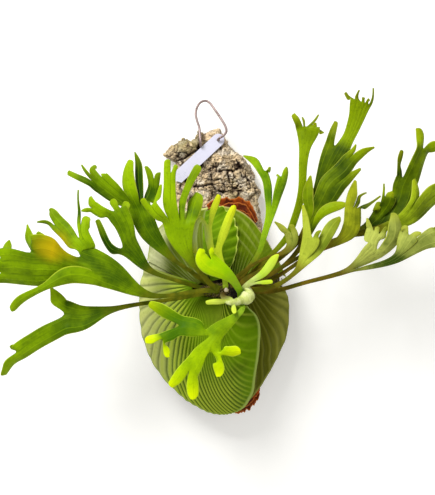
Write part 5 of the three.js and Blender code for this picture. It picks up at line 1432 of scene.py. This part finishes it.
def makeHairs(path, rings, material):
    # Each hair is a thin three-sided spike on a random point of the body, leaning off at random.
    random = np.random.default_rng(budLook["seed"])
    count = budLook["hairs"]
    station = random.integers(0, len(path), count)
    place = rings[station, random.integers(0, budLook["sides"], count)]
    outward = unit(unit(place - path[station]) + random.normal(size=place.shape) * 0.45)
    aside = unit(np.cross(outward, np.array(budLook["hairSlant"])))
    foot = place[:, None] + ringOf(aside, np.cross(outward, aside), 3) * budLook["hairWidth"]
    top = place + outward * budLook["hairLength"] * random.uniform(0.5, 1, (count, 1))
    points = np.concatenate([foot, top[:, None]], axis=1)
    faces = np.arange(count)[:, None, None] * 4 + np.array([[0, 1, 3], [1, 2, 3], [2, 0, 3], [2, 1, 0]])
    values = {"shade": np.zeros(count * 4), "pale": np.ones(count * 4)}
    finish(newPiece("bud.hairs", points, faces.reshape(-1, 3), values, [material], closed=True), "bud")


makeBud()
print("bud made")


# Wire bail and label.

wireLook = {"radius": 1.6, "stations": 320, "sides": 14, "tailOut": 4.6, "tailLength": 14, "turnOut": 40,
            "holes": ((-23, 169), (1, 177)),
            "finish": {"Body": (150, 130, 126), "Worn": (104, 84, 78), "Gloss": 0.34, "Dull": 0.6}}
labelFinish = {"Body": (222, 220, 238), "Worn": (196, 196, 212), "Gloss": 0.3, "Dull": 0.5}


def wirePoints():
    # Out of one hole, up over the top edge to the apex and down into the other hole, with a turned-down
    # tail behind at each end.
    (leftX, leftZ), (rightX, rightZ) = wireLook["holes"]
    tailOut, turnOut = wireLook["tailOut"], wireLook["turnOut"]

    def tail(x, z):
        return [(x, tailOut, z - wireLook["tailLength"]), (x, tailOut, z - 5), (x, tailOut + 1.4, z - 1.4),
                (x, tailOut + 5, z)]

    def straight(x, z):
        return [(x, out, z) for out in (15, 22, 29, turnOut - 3)]

    return [
        *tail(leftX, leftZ), *straight(leftX, leftZ), (leftX, turnOut, leftZ + 4),
        (-24, 37, 184), (-25, 33, 194), (-28, 27, 204), (-30, 22, 214), (-28, 19, 224), (-23, 17, 231),
        (-16, 16, 233), (-11, 17, 230), (-5, 20, 222), (1, 24, 213), (7, 29, 203), (11, 34, 195),
        (12, 38, 188), (8, 40, 182), (rightX + 2, turnOut, rightZ + 2), *straight(rightX, rightZ)[::-1],
        *tail(rightX, rightZ)[::-1],
    ]


def makeWire():
    # One round tube along a smooth line through the wire's points.
    stations, sides = wireLook["stations"], wireLook["sides"]
    path = lineThrough(wirePoints(), np.linspace(0, 1, stations)) * np.array([1, -1, 1])
    rings = tubesAlong(path[None], np.full((1, stations), wireLook["radius"]), sides)
    material = finishedMaterial("wire", plainSurface, wireLook["finish"], bump=0.2, bumpDepth=0.0003,
                                Metallic=0.55)
    piece = newPiece("bail.wire", rings, tubeFaces(1, stations, sides), {}, [material], closed=True)
    finish(piece, "wire", "hanger_wire")


makeWire()
labelMaterial = finishedMaterial("label", plainSurface, labelFinish, bump=0.15, bumpDepth=0.0002)
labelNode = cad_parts["label"]
labelNode.data.materials.clear()
labelNode.data.materials.append(labelMaterial)
print("wire and label made")


# Stage: the white wall behind, a pale floor far below, soft light and the camera. All of it is in metres.

stageLook = {
    "wall": {"tint": (0.89, 0.88, 0.852), "glow": 0.245, "half": 4.0, "behind": 0.0008},
    "floor": {"tint": (0.82, 0.81, 0.79), "glow": 0.0, "half": 6.0, "down": 0.95},
    "glowTint": (1, 1, 0.97, 1), "sky": (1, 1, 0.995, 1), "skyStrength": 0.42,
    "lights": {"key": {"place": (-0.9, -1.5, 1.5), "size": 0.9, "power": 52},
               "fill": {"place": (1.4, -1.6, 0.2), "size": 1.6, "power": 5}},
    "camera": {"away": 1.4, "height": 0.030, "heightShown": 0.693, "sensor": 36},
}


def place(thing, name, location=(0, 0, 0)):
    # An object in the scene for a mesh, a lamp or a camera.
    holder = bpy.data.objects.new(name, thing)
    holder.location = location
    bpy.context.scene.collection.objects.link(holder)
    return holder


def plainSheet(name, corners):
    # A flat sheet that is seen only from the side that its corners turn round to the left.
    look = stageLook[name]
    mesh = bpy.data.meshes.new(name)
    mesh.from_pydata(corners, [], [(0, 1, 2, 3)])
    material = bpy.data.materials.new(name)
    material.use_nodes = True
    tree = material.node_tree
    shader = tree.nodes["Principled BSDF"]
    plain = {"Roughness": 0.95, "Specular IOR Level": 0.1, "Emission Strength": look["glow"],
             "Emission Color": stageLook["glowTint"]}
    for title, value in plain.items():
        shader.inputs[title].default_value = value
    cloud = ranged(tree, noise(tree, 0.8, 2.0), 0.3, 0.7, 0.0, 0.3)
    clouded = tuple(part * 0.97 for part in look["tint"])
    tinted = painted(tree, (*look["tint"], 1), (cloud, (*clouded, 1)))
    tree.links.new(tinted, shader.inputs["Base Color"])
    clear = put(tree, "BsdfTransparent").outputs["BSDF"]
    behind = put(tree, "NewGeometry").outputs["Backfacing"]
    both = put(tree, "MixShader", None, {0: behind, 1: shader.outputs["BSDF"], 2: clear})
    tree.links.new(both.outputs["Shader"], tree.nodes["Material Output"].inputs["Surface"])
    mesh.materials.append(material)
    sheet = place(mesh, name)
    sheet.visible_shadow = False
    return sheet


def makeWallAndFloor():
    # The wall stands just behind the slab's flat back. Surfaces take no diffuse light from it.
    far, back = stageLook["wall"]["half"], stageLook["wall"]["behind"]
    wall = plainSheet("wall", [(-far, back, -far), (far, back, -far), (far, back, far), (-far, back, far)])
    wall.visible_diffuse = False
    far, down = stageLook["floor"]["half"], stageLook["floor"]["down"]
    plainSheet("floor", [(-far, -far, -down), (far, -far, -down), (far, far, -down), (-far, far, -down)])


def makeLights():
    # Each light looks at the frame's origin.
    for name, look in stageLook["lights"].items():
        lamp = bpy.data.lights.new(name, "AREA")
        lamp.size = look["size"]
        lamp.energy = look["power"]
        holder = place(lamp, name, look["place"])
        holder.rotation_mode = "QUATERNION"
        holder.rotation_quaternion = (-Vector(look["place"])).to_track_quat("-Z", "Y")
    world = bpy.data.worlds.new("pale")
    world.use_nodes = True
    sky = world.node_tree.nodes["Background"].inputs
    sky["Color"].default_value = stageLook["sky"]
    sky["Strength"].default_value = stageLook["skyStrength"]
    bpy.context.scene.world = world


def makeCamera():
    # Straight at the wall, with a lens that shows this height at the wall.
    look = stageLook["camera"]
    camera = bpy.data.cameras.new("camera")
    camera.sensor_width = look["sensor"]
    camera.lens = look["sensor"] * look["away"] / look["heightShown"]
    holder = place(camera, "camera", (0, -look["away"], look["height"]))
    holder.rotation_euler = (math.pi / 2, 0, 0)
    bpy.context.scene.camera = holder


makeWallAndFloor()
makeLights()
makeCamera()
print("stage made")
